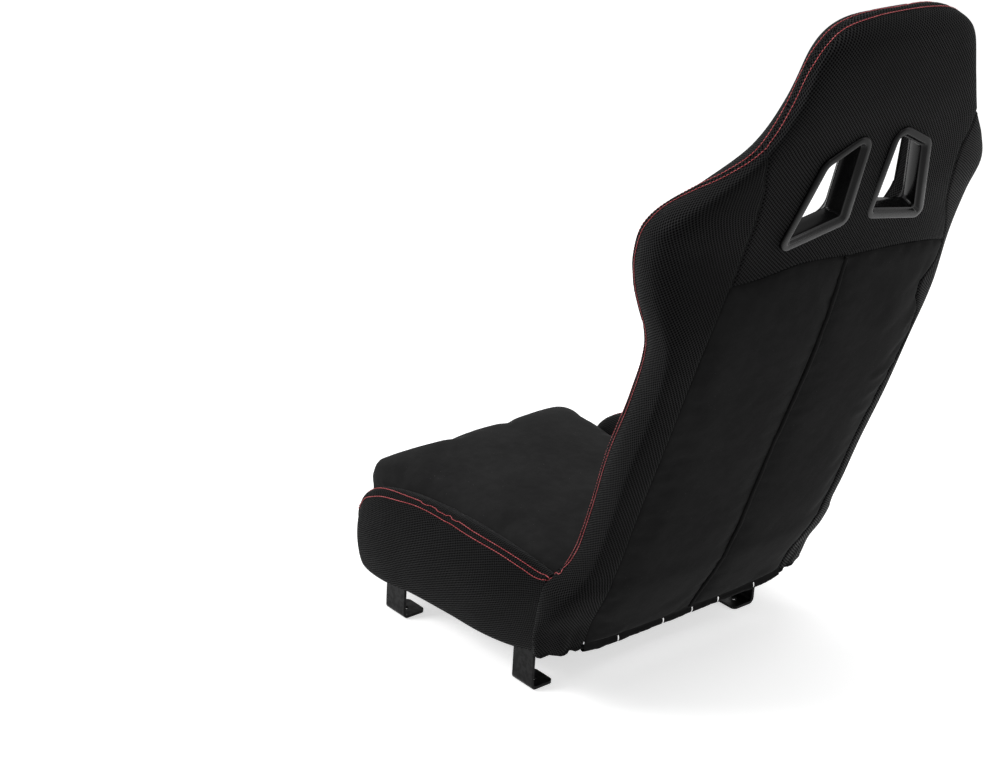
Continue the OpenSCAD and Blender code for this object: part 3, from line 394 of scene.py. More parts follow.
class Finish(Net):
    """A material built up from nodes."""

    def __init__(self, name):
        self.material = bpy.data.materials.new(name)
        super().__init__(self.material)
        self.place = self.node("ShaderNodeTexCoord", out="Object")

    def noise(self, scale, detail=2.0, rough=.5, stretch=None):
        place = self.place
        if stretch:
            place = self.node("ShaderNodeVectorMath", {"operation": "MULTIPLY"},
                              {0: place, 1: stretch})
        return self.node("ShaderNodeTexNoise", {}, {"Vector": place, "Scale": scale,
                                                    "Detail": detail, "Roughness": rough})

    def spots(self, scale):
        return self.node("ShaderNodeTexVoronoi", {}, {"Vector": self.place, "Scale": scale},
                         "Distance")

    def shade(self, amount, a, b):
        """The colour a where amount is 0 and b where it is 1."""
        a, b = [c if isinstance(c, Value) else (*c, 1) for c in (a, b)]
        return self.node("ShaderNodeMix", {"data_type": "RGBA"}, {0: amount, 6: a, 7: b}, 2)

    def bump(self, height, distance, strength):
        return self.node("ShaderNodeBump", {},
                         {"Height": height, "Distance": distance, "Strength": strength})

    def surface(self, **sockets):
        names = {key.replace("_", " "): value for key, value in sockets.items()}
        for key, value in names.items():
            if isinstance(value, tuple) and len(value) == 3:
                names[key] = (*value, 1)
        return self.node("ShaderNodeBsdfPrincipled", {}, names)

    def done(self, surface=None, **sockets):
        self.node("ShaderNodeOutputMaterial", {}, {"Surface": surface or self.surface(**sockets)})
        return self.material


MESH_CELL = (4.3, 4.9)      # one cell of the spacer mesh, with a hole in its corner and its middle
MESH_HOLE = (1.15, 1.28)    # half width and half height of a hole


def mesh_cloth(name, yarn, lit):
    f = Finish(name)
    uv = f.node("ShaderNodeUVMap", {"uv_map": "cloth"})
    sway = f.noise(14, 1)
    across, along, _ = f.axes(uv)
    across = across * (1000 / MESH_CELL[0]) + sway * .5
    along = along * (1000 / MESH_CELL[1]) + sway * .4

    def hole(shift):
        dx = ((across + shift).part() - .5) * (MESH_CELL[0] / MESH_HOLE[0])
        dy = ((along + shift).part() - .5) * (MESH_CELL[1] / MESH_HOLE[1])
        return dx * dx + dy * dy

    near = hole(.0).at_most(hole(.5))
    open_ = 1 - near.step(.62, 1.5)
    fuzz = f.noise(1500, 2)
    wear = f.noise(9, 3).step(.3, .75)
    tone = f.shade(wear * .6 + fuzz * .5, yarn, lit)
    knit = f.surface(Base_Color=tone, Roughness=.50 + fuzz * .2, Specular_IOR_Level=.075,
                     Sheen_Weight=.025, Sheen_Roughness=.3, Sheen_Tint=(.9, .92, .95),
                     Normal=f.bump(1 - open_ + fuzz * .12, .0009, .9))
    gap = f.surface(Base_Color=(.0006, .0006, .0007), Roughness=.9, Specular_IOR_Level=.02)
    return f.done(f.node("ShaderNodeMixShader", {}, {0: open_, 1: knit, 2: gap}))


def suede_cloth(name, dark, light, lint=.55):
    f = Finish(name)
    cloud = f.noise(11, 4, .6).step(.3, .7)
    blotch = f.noise(60, 3, .6).step(.35, .7)
    nap = f.noise(900, 2)
    speck = (1 - f.spots(210).step(.02, .07)) * f.noise(45, 1).step(.5, .62) * lint
    tone = f.shade(cloud * .5 + blotch * .3 + nap * .25, dark, light)
    return f.done(
        Base_Color=f.shade(speck, tone, (.2, .2, .19)),
        Roughness=.82 + nap * .12, Specular_IOR_Level=.05,
        Sheen_Weight=.03, Sheen_Roughness=.4, Sheen_Tint=(.9, .9, .9),
        Normal=f.bump(nap * .5 + blotch * .5, .0005, .5))


def thread(name, base, pale, shine=1.0):
    f = Finish(name)
    ply = f.noise(2600, 1, stretch=(1, 1, .35)).step(.35, .65)
    worn = f.noise(70, 2).step(.42, .66)
    return f.done(Base_Color=f.shade(worn * .55 + ply * .3, base, pale), Roughness=.5 + ply * .2,
                  Sheen_Weight=.3 * shine, Specular_IOR_Level=.45 * shine,
                  Normal=f.bump(ply, .0003, .7))


def moulded_gloss(name):
    f = Finish(name)
    grain = f.noise(700, 2)
    haze = f.noise(30, 3).step(.35, .75)
    height = f.axes(f.place)[2] + (haze - .5) * .03
    facing = f.axes(f.node("ShaderNodeNewGeometry", out="Normal"))[1].step(.45, .8)
    painted_reflection = (1 - height.step(.66, .76)) * facing     # painted reflection: the flange's lower part, not the tunnel, gets more coat so it reflects more than the top
    return f.done(Base_Color=f.shade(haze, (.0015, .0015, .0016), (.004, .004, .0041)),
                  Roughness=.24 + painted_reflection * .02 + grain * .03, Specular_IOR_Level=.08,
                  # more coat low down on the flange paints a brighter reflection there than on the
                  # top
                  Coat_Weight=.04 + painted_reflection * .34, Coat_Roughness=.12,
                  Normal=f.bump(grain, .0001, .1))


def painted_steel(name, tone, rough):
    f = Finish(name)
    peel = f.noise(420, 2)
    dust = f.noise(24, 4, .6).step(.45, .8)
    corner = f.node("ShaderNodeNewGeometry", out="Pointiness").step(.53, .6)
    edge = corner * f.noise(160, 3).step(.4, .6)
    dusty = f.shade(dust * .4, tone, tuple(c * 1.6 for c in tone))
    worn = f.shade(edge * .3, dusty, (.03, .03, .031))
    return f.done(Base_Color=worn, Roughness=rough + dust * .15 - edge * .1, Metallic=edge * .4,
                  Specular_IOR_Level=.09, Normal=f.bump(peel, .00025, .3))


def bare_steel(name, tone, rough):
    f = Finish(name)
    brush = f.noise(900, 2, stretch=(1, 1, .1))
    spots = f.noise(90, 4, .65).step(.5, .72)
    return f.done(Base_Color=f.shade(spots * .5 + brush * .3, tone, tuple(c * .55 for c in tone)),
                  Metallic=1.0, Roughness=rough + spots * .18 + brush * .08,
                  Normal=f.bump(brush, .0001, .3))


def belt_webbing(name):
    f = Finish(name)
    x, y, z = f.axes(f.place)
    rib = ((x * 2400).sine() * (y * 2400 + z * 2400).sine() + 1) * .5
    dull = f.noise(60, 3)
    return f.done(Base_Color=f.shade(rib * .6 + dull * .4, (.012, .012, .013), (.035, .035, .037)),
                  Roughness=.75 + dull * .15, Sheen_Weight=.2, Normal=f.bump(rib, .0005, .8))


mesh_black = mesh_cloth("spacer_mesh", (.0040, .0040, .0041), (.0115, .0115, .0117))
suede_back = suede_cloth("charcoal_suede", (.0062, .0062, .0063), (.0125, .0125, .0126))
suede_cushion = suede_cloth("cushion_suede", (.008, .008, .0081), (.016, .016, .0161), .8)
hem_cloth = suede_cloth("hem_binding", (.006, .006, .0062), (.012, .012, .012), .4)
red_thread = thread("red_thread", (.36, .006, .012), (.62, .10, .11))
black_thread = thread("black_thread", (.003, .003, .003), (.009, .009, .009), .12)
bezel_gloss = moulded_gloss("gloss_frame")

# finishes of the CAD meshes that stay
KEPT = (
    (painted_steel("frame_paint", (.014, .014, .015), .45),
     ["base_loop_tube", "back_hoop_tube", "rear_base_cross_tube", "lumbar_cross_tube",
      "chest_cross_tube", "bolt_sleeves"]),
    (belt_webbing("belt_webbing"), ["base_cross_webbing", "base_long_webbing", "back_webbing"]),
    (painted_steel("bracket_paint", (.0012, .0012, .0013), .4),
     ["rear_bracket_left", "rear_bracket_right", "front_bracket_left", "front_bracket_right"]),
    (bare_steel("zinc_fastener", (.50, .50, .48), .34),
     ["bracket_bolts", "bracket_washers", "bracket_nuts"]),
    (bare_steel("rod_steel", (.35, .35, .36), .4), ["rear_hem_rod"]),
    (bare_steel("ring_wire", (.82, .82, .82), .2), ["hog_rings"]),
)
for finish, kept in KEPT:
    for node_name in kept:
        kept_mesh = nodes[node_name].data
        kept_mesh.materials.clear()
        kept_mesh.materials.append(finish)

# ---------- where the panels meet ----------

# seam over the suede panels: place from edge to edge and height
YOKE = np.array([[-1, 600.5], [-.95, 602], [-.70, 613], [-.46, 621], [-.27, 625], [0, 629],
                 [.16, 632], [.41, 633], [.62, 627.5], [.81, 623], [1, 621]], float)
NECK_START, NECK_Z = 776.0, 796.0
# height, distance of the suede's side seam from the centre, on either side
PANEL_SEAM = {
    1: np.array([[84, 176], [100, 177], [155, 185], [240, 188], [330, 189], [400, 189], [526, 187],
                 [588, 177], [623, 171], [661, 167], [701, 165], [741, 166], [754, 170.5],
                 [771, 173], [784, 173.5]], float),
    -1: np.array([[84, 176], [100, 177], [155, 185], [240, 188], [330, 190], [400, 197], [430, 203],
                  [465, 210], [490, 206], [514, 195], [535, 183], [552, 180], [564, 190],
                  [575, 204], [588, 211], [602, 213], [625, 203], [661, 181], [701, 168],
                  [741, 166], [754, 170.5], [771, 173], [784, 173.5]], float)}
# height, place round the section of the rear and of the front stitch row
RIM_ROWS = np.array([
    [84, 1.94, 2.0], [150, 1.90, 2.0], [186, 1.80, 1.96], [204, 1.55, 1.71], [215, 1.50, 1.63],
    [243, 1.41, 1.53], [275, 1.41, 1.52], [340, 1.42, 1.53], [420, 1.42, 1.53], [500, 1.42, 1.53],
    [560, 1.42, 1.54], [610, 1.42, 1.55], [650, 1.42, 1.56], [679, 1.405, 1.56],
    [698, 1.44, 1.61], [706, 1.49, 1.67], [714, 1.56, 1.75], [722, 1.56, 1.76],
    [730, 1.52, 1.72], [739, 1.43, 1.62], [747, 1.32, 1.50], [755, 1.25, 1.41],
    [764.5, 1.20, 1.35], [772, 1.163, 1.31], [785, 1.13, 1.285], [804, 1.137, 1.32],
    [825, 1.155, 1.35], [855, 1.172, 1.405], [868, 1.155, 1.385], [881, 1.111, 1.37],
    [892, 1.094, 1.354], [925, 1.09, 1.35]], float)
# the same two rows over the top of the head, x y z each
CROWN_ROWS = np.array([
    [112, 314, 900, 105.5, 298, 901], [102, 314, 907, 95.5, 298, 908],
    [91, 315, 912, 85, 299, 913.5], [76, 317, 917, 71, 301.5, 918.5],
    [56, 318, 920, 53, 304, 922], [33, 318, 922, 31, 307, 924],
    [0, 318, 922.5, 0, 310, 925]], float)
# y and place on the bolster of the lower row, then of the upper one
BOLSTER_STITCH = np.array([
    [-324.6, .15, -324.6, .24], [-325, .42, -325, .52], [-321.5, .60, -319.5, .74],
    [-316, .70, -312, .87], [-306, .774, -303, .93], [-290, .774, -284, .94],
    [-267, .786, -261, .922], [-230, .782, -230, .890], [-188, .794, -188, .878],
    [-136, .786, -133, .870], [-83, .766, -83, .842], [-28, .775, -28, .85],
    [12, .775, 12, .86], [48, .80, 46, .89]], float)


SECTION_SAMPLES = 160


def u_at_x(z, x):
    """Place round the rear face, at height z, whose distance from the centre is x."""
    u = np.linspace(0, 1, SECTION_SAMPLES)
    return float(np.interp(x, back_point(z, u)[:, 0], u))


def rim_u(z):
    return np.interp(z, RIM_ROWS[:, 0], (RIM_ROWS[:, 1] + RIM_ROWS[:, 2]) / 2)


def yoke_z(c):
    """Height of the seam over the suede panels at a place across the back."""
    return smooth(YOKE, np.ravel(c))[:, 1].reshape(np.shape(c))


def seam_u(z, side):
    """Place of the side seam, which runs out into the rim at the neck."""
    along = u_at_x(z, smooth(PANEL_SEAM[side], z)[0][1])
    out = np.clip((z - NECK_START) / (NECK_Z - NECK_START), 0, 1)
    return along + (rim_u(z) - along) * ease(out)


def seam_along(z, side, low, high, count):
    """Places of the side seam at the heights z, from a count of them between low and high."""
    samples = np.linspace(low, high, count)
    return np.interp(z, samples, [seam_u(h, side) for h in samples])


def ring_part(z, start, end, fractions, side):
    """Points at height z from one place of the section to another, evenly by distance."""
    u = np.linspace(start, end, 90)
    s = lengths(back_point(z, u))
    return back_point(z, np.interp(fractions * s[-1], s, u), side)


def turned(across, up, grain):
    """Places in a cloth's layout, turned by its grain in degrees."""
    c, s = math.cos(math.radians(grain)), math.sin(math.radians(grain))
    return np.stack([across * c + up * s, up * c - across * s], -1)


def cloth_uv(grid, zero, grain):
    """Flat layout of a panel: distance round it from the column zero, and up that column."""
    across = lengths(grid, 1)
    up = np.repeat(lengths(grid[:, zero])[:, None], grid.shape[1], 1)
    return turned(across - across[:, zero:zero + 1], up, grain)


# ---------- covers of the back ----------

SLOT_X, SLOT_Z, SLOT_SINK, SLOT_LEAN = 66.0, 720.0, 1.5, 1.5
# corners of a slot's rim: inner top, inner bottom, outer bottom, outer top
SLOT_CORNERS = np.array([[-47, 78.5], [-52, -47.5], [59, -68], [24, 44.5]])
SLOT_RADII = (18.5, 15.0, 12.0, 22.0)
SLOT_INNER_R = 3.0
UNDER_FLANGE = 6.0          # how far under the rear flange the cloth ends
FRONT_SLOPE, FRONT_LEAN, FRONT_DEPTH = .14, .02, 35.0
RECESS_SHIFT, RECESS_START, RECESS_DEEP = np.array([14.0, -6.0]), 42.0, 29.0
RECESS_EDGE = -9.4          # the front recess, a little inside the front flange's edge
TUNNEL_LEAN = np.array([[0, 0], [6, 0], [21.4, 4.0], [60, 4.0]])   # depth, way outwards


def rear_y(z):
    return float(back_section(z)[0][0])


slot_tilt = math.atan2(rear_y(SLOT_Z + 50) - rear_y(SLOT_Z - 50), 100) + math.radians(SLOT_LEAN)
slot_frame = (Matrix.Translation((SLOT_X, rear_y(SLOT_Z) - SLOT_SINK, SLOT_Z))
              @ Matrix.Rotation(-slot_tilt, 4, "X")
              @ Matrix(((1, 0, 0, 0), (0, 0, 1, 0), (0, 1, 0, 0), (0, 0, 0, 1))))
slot_turn, slot_place = np.array(slot_frame)[:3, :3], np.array(slot_frame)[:3, 3]


def slot_outline(inset, turns=9):
    """Outline of a slot in its own frame, drawn in by inset."""
    points = []
    for i in range(4):
        a, b, c = SLOT_CORNERS[i - 1], SLOT_CORNERS[i], SLOT_CORNERS[(i + 1) % 4]
        into = (b - a) / np.linalg.norm(b - a)
        away = (c - b) / np.linalg.norm(c - b)
        half = math.acos(float(into @ away)) / 2
        inward = (away - into) / np.linalg.norm(away - into)
        r = max(SLOT_RADII[i] - inset, SLOT_INNER_R)
        middle = b + inward * (inset + r) / math.cos(half)
        start = math.atan2(-inward[1], -inward[0])
        for k in np.linspace(-half, half, turns):
            points.append(middle + r * np.array([math.cos(start + k), math.sin(start + k)]))
    return np.array(points)


def from_slot(flat, depth, side=1):
    """Points of the seat from places in a slot's frame and depths under the rear face."""
    local = np.concatenate([flat, -np.broadcast_to(depth, (len(flat),))[:, None]], 1)
    return (local @ slot_turn.T + slot_place) * [side, 1, 1]


def to_slot(points):
    """Places in the nearer slot's frame, and depths under the rear face."""
    folded = np.asarray(points).reshape(-1, 3) * 1.0
    folded[:, 0] = np.abs(folded[:, 0])
    local = (folded - slot_place) @ slot_turn
    return local[:, :2], -local[:, 2]


def near_outline(flat, outline):
    """Nearest places on a closed outline, and which of the given places lie inside it."""
    a, d = outline, np.roll(outline, -1, 0) - outline
    rel = flat[:, None] - a
    t = np.clip((rel * d).sum(-1) / (d * d).sum(-1), 0, 1)
    near = a + t[..., None] * d
    best = np.linalg.norm(flat[:, None] - near, axis=-1).argmin(1)
    side = d[:, 0] * rel[..., 1] - d[:, 1] * rel[..., 0]
    turn = np.sign((a[:, 0] * d[:, 1] - a[:, 1] * d[:, 0]).sum())
    return near[np.arange(len(flat)), best], (turn * side > 0).all(1)


def front_y(x, z):
    """y of the front face at a distance x from the centre and a height z."""
    ring = back_point(z, np.linspace(1, 3, SECTION_SAMPLES))
    return float(np.interp(x, ring[::-1, 0], ring[::-1, 1]))


def recess_shift(flat, depth):
    """How far the front recess has moved outwards at a depth."""
    share = np.maximum(depth - FRONT_SLOPE * flat[:, 0] - RECESS_START, 0) / RECESS_DEEP
    return share[:, None] * RECESS_SHIFT


def cut_slots(points, faces, front):
    """Opens the slots in a panel and draws the cloth that is left to the opening's edge."""
    flat, depth = to_slot(points)
    shift = recess_shift(flat, depth) if front else 0 * flat
    near, inside = near_outline(flat - shift, slot_outline(RECESS_EDGE if front else UNDER_FLANGE))
    kept = [face for face in faces if not inside[list(face)].all()]
    points = points.reshape(-1, 3).copy()
    moved = from_slot((near + shift)[inside], depth[inside])
    moved[:, 0] *= np.where(points[inside, 0] < 0, -1, 1)
    if front:
        moved[:, 1] = [front_y(abs(p[0]), p[2]) for p in moved]
    points[inside] = moved
    return points, kept


def crown_row(grid):
    """Closes a panel at the top of the head: its last row moved to the middle of the thickness."""
    last = grid[-1].copy()
    s = back_section(TOP_Z)
    last[:, 1] = s[0][0] - s[6][0] / 2
    return np.concatenate([grid, last[None]], 0)


# about the length across a panel and its grid's step
SIDE_GRID, HEAD_GRID, SUEDE_GRID = (200, 5.5), (170, 4.6), (180, 5.5)
FRONT_GRID, CENTRE_GRID = (170, 6.0), (100, 6)
SUEDE_TALL, ROW_STEP = 600, 6.0
HEAD_FINE, CROWN_GAP, HEAD_ROWS = 58, .3, 24      # close rows over the top of the head
SEAM_DEPTH, SUEDE_SEAM_DEPTH = 2.4, 3.4           # how far the cloth is drawn down at a seam


def heights(low, high, step=ROW_STEP):
    top = np.linspace(TOP_Z - HEAD_FINE, TOP_Z - CROWN_GAP, HEAD_ROWS)
    if high < TOP_Z:
        return low + (high - low) * spread(high - low, step)
    plain = low + (top[0] - low) * spread(top[0] - low, step)
    return np.concatenate([plain[:-4], top])


def piece_of_grid(name, grid, side, material, edges, grain=0.0, zero=0, lift=None,
                  hides=(), slots="", drop=SEAM_DEPTH):
    raise_by = edge_drop(grid, edges, drop)
    if lift is not None:
        raise_by = raise_by + lift
    points = grid + normals_of(grid, side) * raise_by[..., None]
    faces = quads(*grid.shape[:2], side)
    if slots:
        points, faces = cut_slots(points, faces, slots == "front")
    piece = add_mesh(name, points, faces, material, cloth_uv(grid, zero, grain), hides)
    return piece, grid.shape[:2]


SIDE_GRAIN, HEAD_GRAIN, BOLSTER_GRAIN = 13.0, -5.0, -24.0
# where the side panel meets the thigh bolster: y, height up to which it does so in full, and
# height where that ends
BOLSTER_END_Y, REACH_FULL, REACH_TOP = 57.0, 176.0, 216.0
HEM_SLACK, HEM_FADE = {1: .62, -1: .25}, 38.0     # how loose the hem is, how high that reaches
HEM_OUT, HEM_UP = ((2.2, 17, .8), (1.4, 31, 2)), ((2.6, 21, 1.2), (1.6, 9, 0))   # its waves
WAIST_HALF = 222
hem_waves = {}


def side_reach(z, grid, side):
    """How far the side panel's front edge reaches out, low down, to meet the thigh bolster."""
    ring = bolster_point(BOLSTER_END_Y, np.linspace(0, 1, 60))
    reach = np.zeros((len(z), 3))
    fade = np.clip((REACH_TOP - z) / (REACH_TOP - REACH_FULL), 0, 1)
    reach[:, 0] = side * np.interp(z, ring[:, 2], ring[:, 0]) - grid[:, -1, 0]
    reach[:, 1] = BOLSTER_END_Y - grid[:, -1, 1]
    return reach * ease(fade)[:, None]


def side_panel(label, side):
    z = heights(HEM_Z, NECK_Z)
    fractions = spread(*SIDE_GRID)
    grid = np.stack([ring_part(h, seam_u(h, side), rim_u(h), fractions, side) for h in z])
    grid += side_reach(z, grid, side)[:, None] * ease(fractions)[None, :, None]
    along = np.linspace(0, 1, grid.shape[1])[None]
    low = HEM_SLACK[side] * np.exp(-((z - HEM_Z) / HEM_FADE)**2)[:, None] * np.sin(np.pi * along)
    lift = low * waves(along, HEM_OUT)
    grid[..., 2] += low * waves(along, HEM_UP)
    hem_waves[side] = (grid + normals_of(grid, side) * lift[..., None])[0]
    zero = int(np.argmin(np.abs(grid[len(z) // 2, :, 0] * side - WAIST_HALF)))
    return piece_of_grid("side_panel_" + label, grid, side, mesh_black,
                         ("first", "last", "high"), SIDE_GRAIN, zero, lift,
                         ["side_cover_" + label])[0]


def head_panel():
    c = both_ways(*HEAD_GRID)
    middle = yoke_z(0)
    rows = (heights(middle, TOP_Z, HEAD_GRID[1]) - middle) / (TOP_Z - middle)
    yoke = yoke_z(c)
    z = yoke + rows[:, None] * (TOP_Z - CROWN_GAP - yoke) / rows[-1]
    edges = [seam_along(z, side, YOKE[0][1] - 5, TOP_Z, 300) for side in (-1, 1)]
    u = np.abs(c) * np.where(c < 0, *edges)
    halves = [back_point(z, u, side) for side in (-1, 1)]
    grid = crown_row(np.where((c < 0)[..., None], *halves))
    return piece_of_grid("head_panel", grid, 1, mesh_black, ("first", "last", "low"),
                         HEAD_GRAIN, grid.shape[1] // 2, None, ["upper_rear_cover"], "rear")[0]


# folds of the suede: x and z of both ends, half width, height
FOLDS = np.array([
    [-146, 424, -196, 430, 5.5, 2.6], [-158, 398, -196, 408, 6.5, 2.2],
    [-172, 446, -194, 462, 6, -1.6], [-178, 492, -192, 512, 7, 2.4],
    [-170, 520, -192, 540, 8, -1.4], [-150, 372, -188, 366, 9, 1.4], [140, 118, 172, 150, 9, 1.6],
    [120, 100, 160, 96, 6, 1.8], [-110, 104, -160, 98, 7, 1.8], [20, 128, 70, 108, 9, 1.2],
    [-30, 150, -85, 118, 10, 1.2], [60, 560, 120, 590, 16, 1.0], [-112, 545, -140, 505, 26, 3.0],
    [-176, 590, -168, 548, 9, -2.0]], float)
LOWER_START_Z = 90.0        # lower edge of the suede panels
LOWER_BULGE = 1.6           # how far their middle stands out


def fold_lift(x, z):
    lift = np.zeros(x.shape)
    for x0, z0, x1, z1, half, high in FOLDS:
        dx, dz = x1 - x0, z1 - z0
        t = np.clip(((x - x0) * dx + (z - z0) * dz) / (dx * dx + dz * dz), 0, 1)
        away = np.hypot(x - x0 - t * dx, z - z0 - t * dz)
        lift += high * np.exp(-(away / half)**2) * np.sin(np.pi * (.15 + .7 * t))
    return lift


def lower_panel(label, side):
    c = spread(*SUEDE_GRID)[None, :]
    rows = spread(SUEDE_TALL, ROW_STEP)[:, None]
    z = LOWER_START_Z + rows * (yoke_z(side * c) - LOWER_START_Z)
    u = c * seam_along(z, side, 80, 640, 240)
    grid = back_point(z, u, side)
    x = grid[..., 0]
    lift = (fold_lift(x, z) + .35 * wander(x / 60 + z / 120, 1.3)
            + LOWER_BULGE * np.sin(np.pi * c)**.6)
    piece, (n, m) = piece_of_grid("suede_panel_" + label, grid, side, suede_back,
                                  ("first", "last", "high"), lift=lift, drop=SUEDE_SEAM_DEPTH,
                                  hides=["lower_rear_cover_" + label])
    index = np.arange(n * m).reshape(n, m)
    sewn = [index[0], index[-1], index[:, 0], index[:, -1], index[:, 1], index[:, -2]]
    inflate(piece, pressure=3.0, cap=3.0, frames=14, pins=np.unique(np.concatenate(sewn)),
            shrink=-.006)
    return piece


BOLSTER_FOOT_U = 2.5        # place round the back where the side bolster meets the front panel


def front_bolster(label, side):
    z = heights(FRONT_START_Z, TOP_Z)
    fractions = spread(*FRONT_GRID)
    grid = crown_row(np.stack([ring_part(h, rim_u(h), BOLSTER_FOOT_U, fractions, side) for h in z]))
    hides = ["front_bolster_cover_" + label]
    if side > 0:
        hides += ["back_foam", "head_foam", "back_rear_pad"]
    return piece_of_grid("front_bolster_" + label, grid, side, mesh_black,
                         ("last",), SIDE_GRAIN, 0, None, hides, "front")[0]


CHANNEL_PITCH, CHANNEL_HALF, CHANNEL_DEEP, CHANNEL_TOP = 76, 3.2, 1.6, 640   # quilting in front


def front_centre():
    c = both_ways(*CENTRE_GRID)
    z = heights(FRONT_START_Z, TOP_Z)[:, None]
    u = 3 - (3 - BOLSTER_FOOT_U) * np.abs(c) + 0 * z
    halves = [back_point(z + 0 * c, u, side) for side in (-1, 1)]
    grid = crown_row(np.where((c > 0)[..., None], *halves))
    rows = grid[..., 2]
    away = (rows - FRONT_START_Z) % CHANNEL_PITCH - CHANNEL_PITCH / 2
    channel = -CHANNEL_DEEP * np.exp(-(away / CHANNEL_HALF)**2) * (rows < CHANNEL_TOP)
    return piece_of_grid("front_centre_panel", grid, 1, suede_cushion,
                         ("first", "last"), lift=channel, hides=["front_centre_cover"],
                         slots="front")[0]


panels = []
for label, side in SIDES:
    panels += [side_panel(label, side), lower_panel(label, side), front_bolster(label, side)]
panels += [head_panel(), front_centre()]

# ---------- thigh bolsters ----------

# y of the rings and places round a ring, closer where the cloth bends
BOLSTER_Y = np.concatenate([[-325.8, -325, -324, -322.5, -320.5, -318, -315, -311.5, -307],
                            np.arange(-302, 50, 5.6), [51, 54, 56.4, 57.4]])
BOLSTER_W = np.concatenate([np.linspace(0, 1, 26), np.linspace(1, 2, 22)[1:], [2.3, 2.6, 2.85]])
MIDDLE_ROW = 40                               # the row whose length lays out the cloth
BOLSTER_EASE = np.array([.992, 1, .992])      # size of the cloth before it is filled


def thigh_bolster(label, side):
    grid = bolster_point(BOLSTER_Y[:, None], BOLSTER_W[None, :], side)
    n, m = grid.shape[:2]
    middle = grid.mean(1, keepdims=True)
    closed = np.concatenate([grid, grid[:, :1]], 1)
    up = lengths(closed[MIDDLE_ROW])[:-1]
    ahead, up = np.repeat(BOLSTER_Y[:, None], m, 1), np.repeat(up[None], n, 0)
    uv = turned(ahead, up, BOLSTER_GRAIN)
    grid = middle + (grid - middle) * BOLSTER_EASE
    faces = quads(n, m, -side, True)
    points = list(grid.reshape(-1, 3)) + [grid[0].mean(0), grid[-1].mean(0)]
    for j in range(m):
        k = (j + 1) % m
        front, back = (n * m, k, j), (n * m + 1, (n - 1) * m + j, (n - 1) * m + k)
        faces += [front if side > 0 else front[::-1], back if side > 0 else back[::-1]]
    uv = np.concatenate([uv.reshape(-1, 2), [uv[0].mean(0), uv[-1].mean(0)]])
    piece = add_mesh("thigh_bolster_" + label, points, faces, mesh_black, uv,
                     ["base_side_cover_" + label, "bolster_foam_" + label])
    face_outwards(piece)
    hem = [i * m + j for i in range(n) for j in (0, 1, m - 1, m - 2, m - 3)]
    end = list(range((n - 3) * m, n * m + 2))
    inflate(piece, pressure=3.5, cap=4.0, frames=16, pins=sorted(set(hem + end)))
    return piece


bolsters = [thigh_bolster(label, side) for label, side in SIDES]

# ---------- cushion ----------

CUSHION_Y = np.concatenate([[-377.9, -377.4, -376, -373, -368, -360], np.arange(-350, 44, 8.0),
                            [48, 52, 55, 56.6]])
CUSHION_EASE = np.array([.985, .99, .95])     # size of the cloth before it is filled
CUSHION_DROP_Y = -316.0                       # the cushion's front hangs down before this y
DROP_Z, FLOOR_Z = 79.0, 93.5                  # its lowest places, at the front and behind it
FILLED_DROP_Z, FILLED_FLOOR_Z = .079, .0932   # the same, for the filled cloth and in metres
CUSHION_BOX = np.array([[-.1862, -.384, 0], [.1862, .0575, 1]])   # room it has, in metres


def cushion():
    loops = []
    for y, half, edge, low, crown in smooth(CUSHION_ROWS, CUSHION_Y):
        floor = DROP_Z if y < CUSHION_DROP_Y else FLOOR_Z
        low = min(max(low, floor) + max(0, y - 10) * .35, edge - 14)
        tall = edge - low
        corner = min(24, .4 * tall)
        t = np.linspace(0, 1, 16)
        top = np.stack([bezier(0, .5 * half, half - 30, half - 13, t),
                        bezier(edge + crown, edge + crown, edge + .4 * crown, edge - 1, t)], 1)
        drop = np.array([[half - 4, edge - .35 * corner], [half, edge - corner],
                         [half - 3.5, (edge + low) / 2], [half - 1, low + .1 * tall],
                         [half - 8, low], [half * .7, low], [half * .35, low]])
        right = np.concatenate([top, drop])
        loop = np.concatenate([right, [[0, low]], (right * [-1, 1])[::-1][:-1]])
        loops.append(np.stack([loop[:, 0], np.full(len(loop), y), loop[:, 1]], 1))
    grid = np.array(loops)
    n, m = grid.shape[:2]
    middle = grid.reshape(-1, 3).mean(0)
    grid = middle + (grid - middle) * CUSHION_EASE
    faces = quads(n, m, 1, True) + end_faces(n, m)
    piece = add_mesh("seat_cushion", grid, faces, suede_cushion, None,
                     ["cushion_foam", "cushion_cover"])
    remesh = piece.modifiers.new("even", "REMESH")
    remesh.mode, remesh.use_smooth_shade = "VOXEL", True
    remesh.voxel_size = .006
    apply_modifiers(piece)
    inflate(piece, pressure=4.0, cap=9.0, frames=20)
    co = points_of(piece)
    least = np.where(co[:, 1] < CUSHION_DROP_Y * MM, FILLED_DROP_Z, FILLED_FLOOR_Z)
    co[:, 2] = np.maximum(co[:, 2], least)
    co = np.clip(co, *CUSHION_BOX)
    piece.data.vertices.foreach_set("co", co.ravel())
    rounded(piece)


cushion()

# ---------- seams, bands and stitches ----------

REAR_CORE, TOP_CORE_Z = 40.0, 860.0     # depth and greatest height of the back's core
BOLSTER_CORE = (212.0, 130.0)           # x and z of a thigh bolster's core
OUTSIDE = 7.0                           # covers that lie one over the other are no further apart


def core_near(p):
    """A place well inside the back or the thigh bolster near a point."""
    if p[1] < BOLSTER_END_Y - 15 and p[2] < REACH_TOP:
        return np.array([math.copysign(BOLSTER_CORE[0], p[0]), p[1], BOLSTER_CORE[1]])
    z = min(p[2], TOP_CORE_Z)
    return np.array([0, rear_y(z) - REAR_CORE, z])


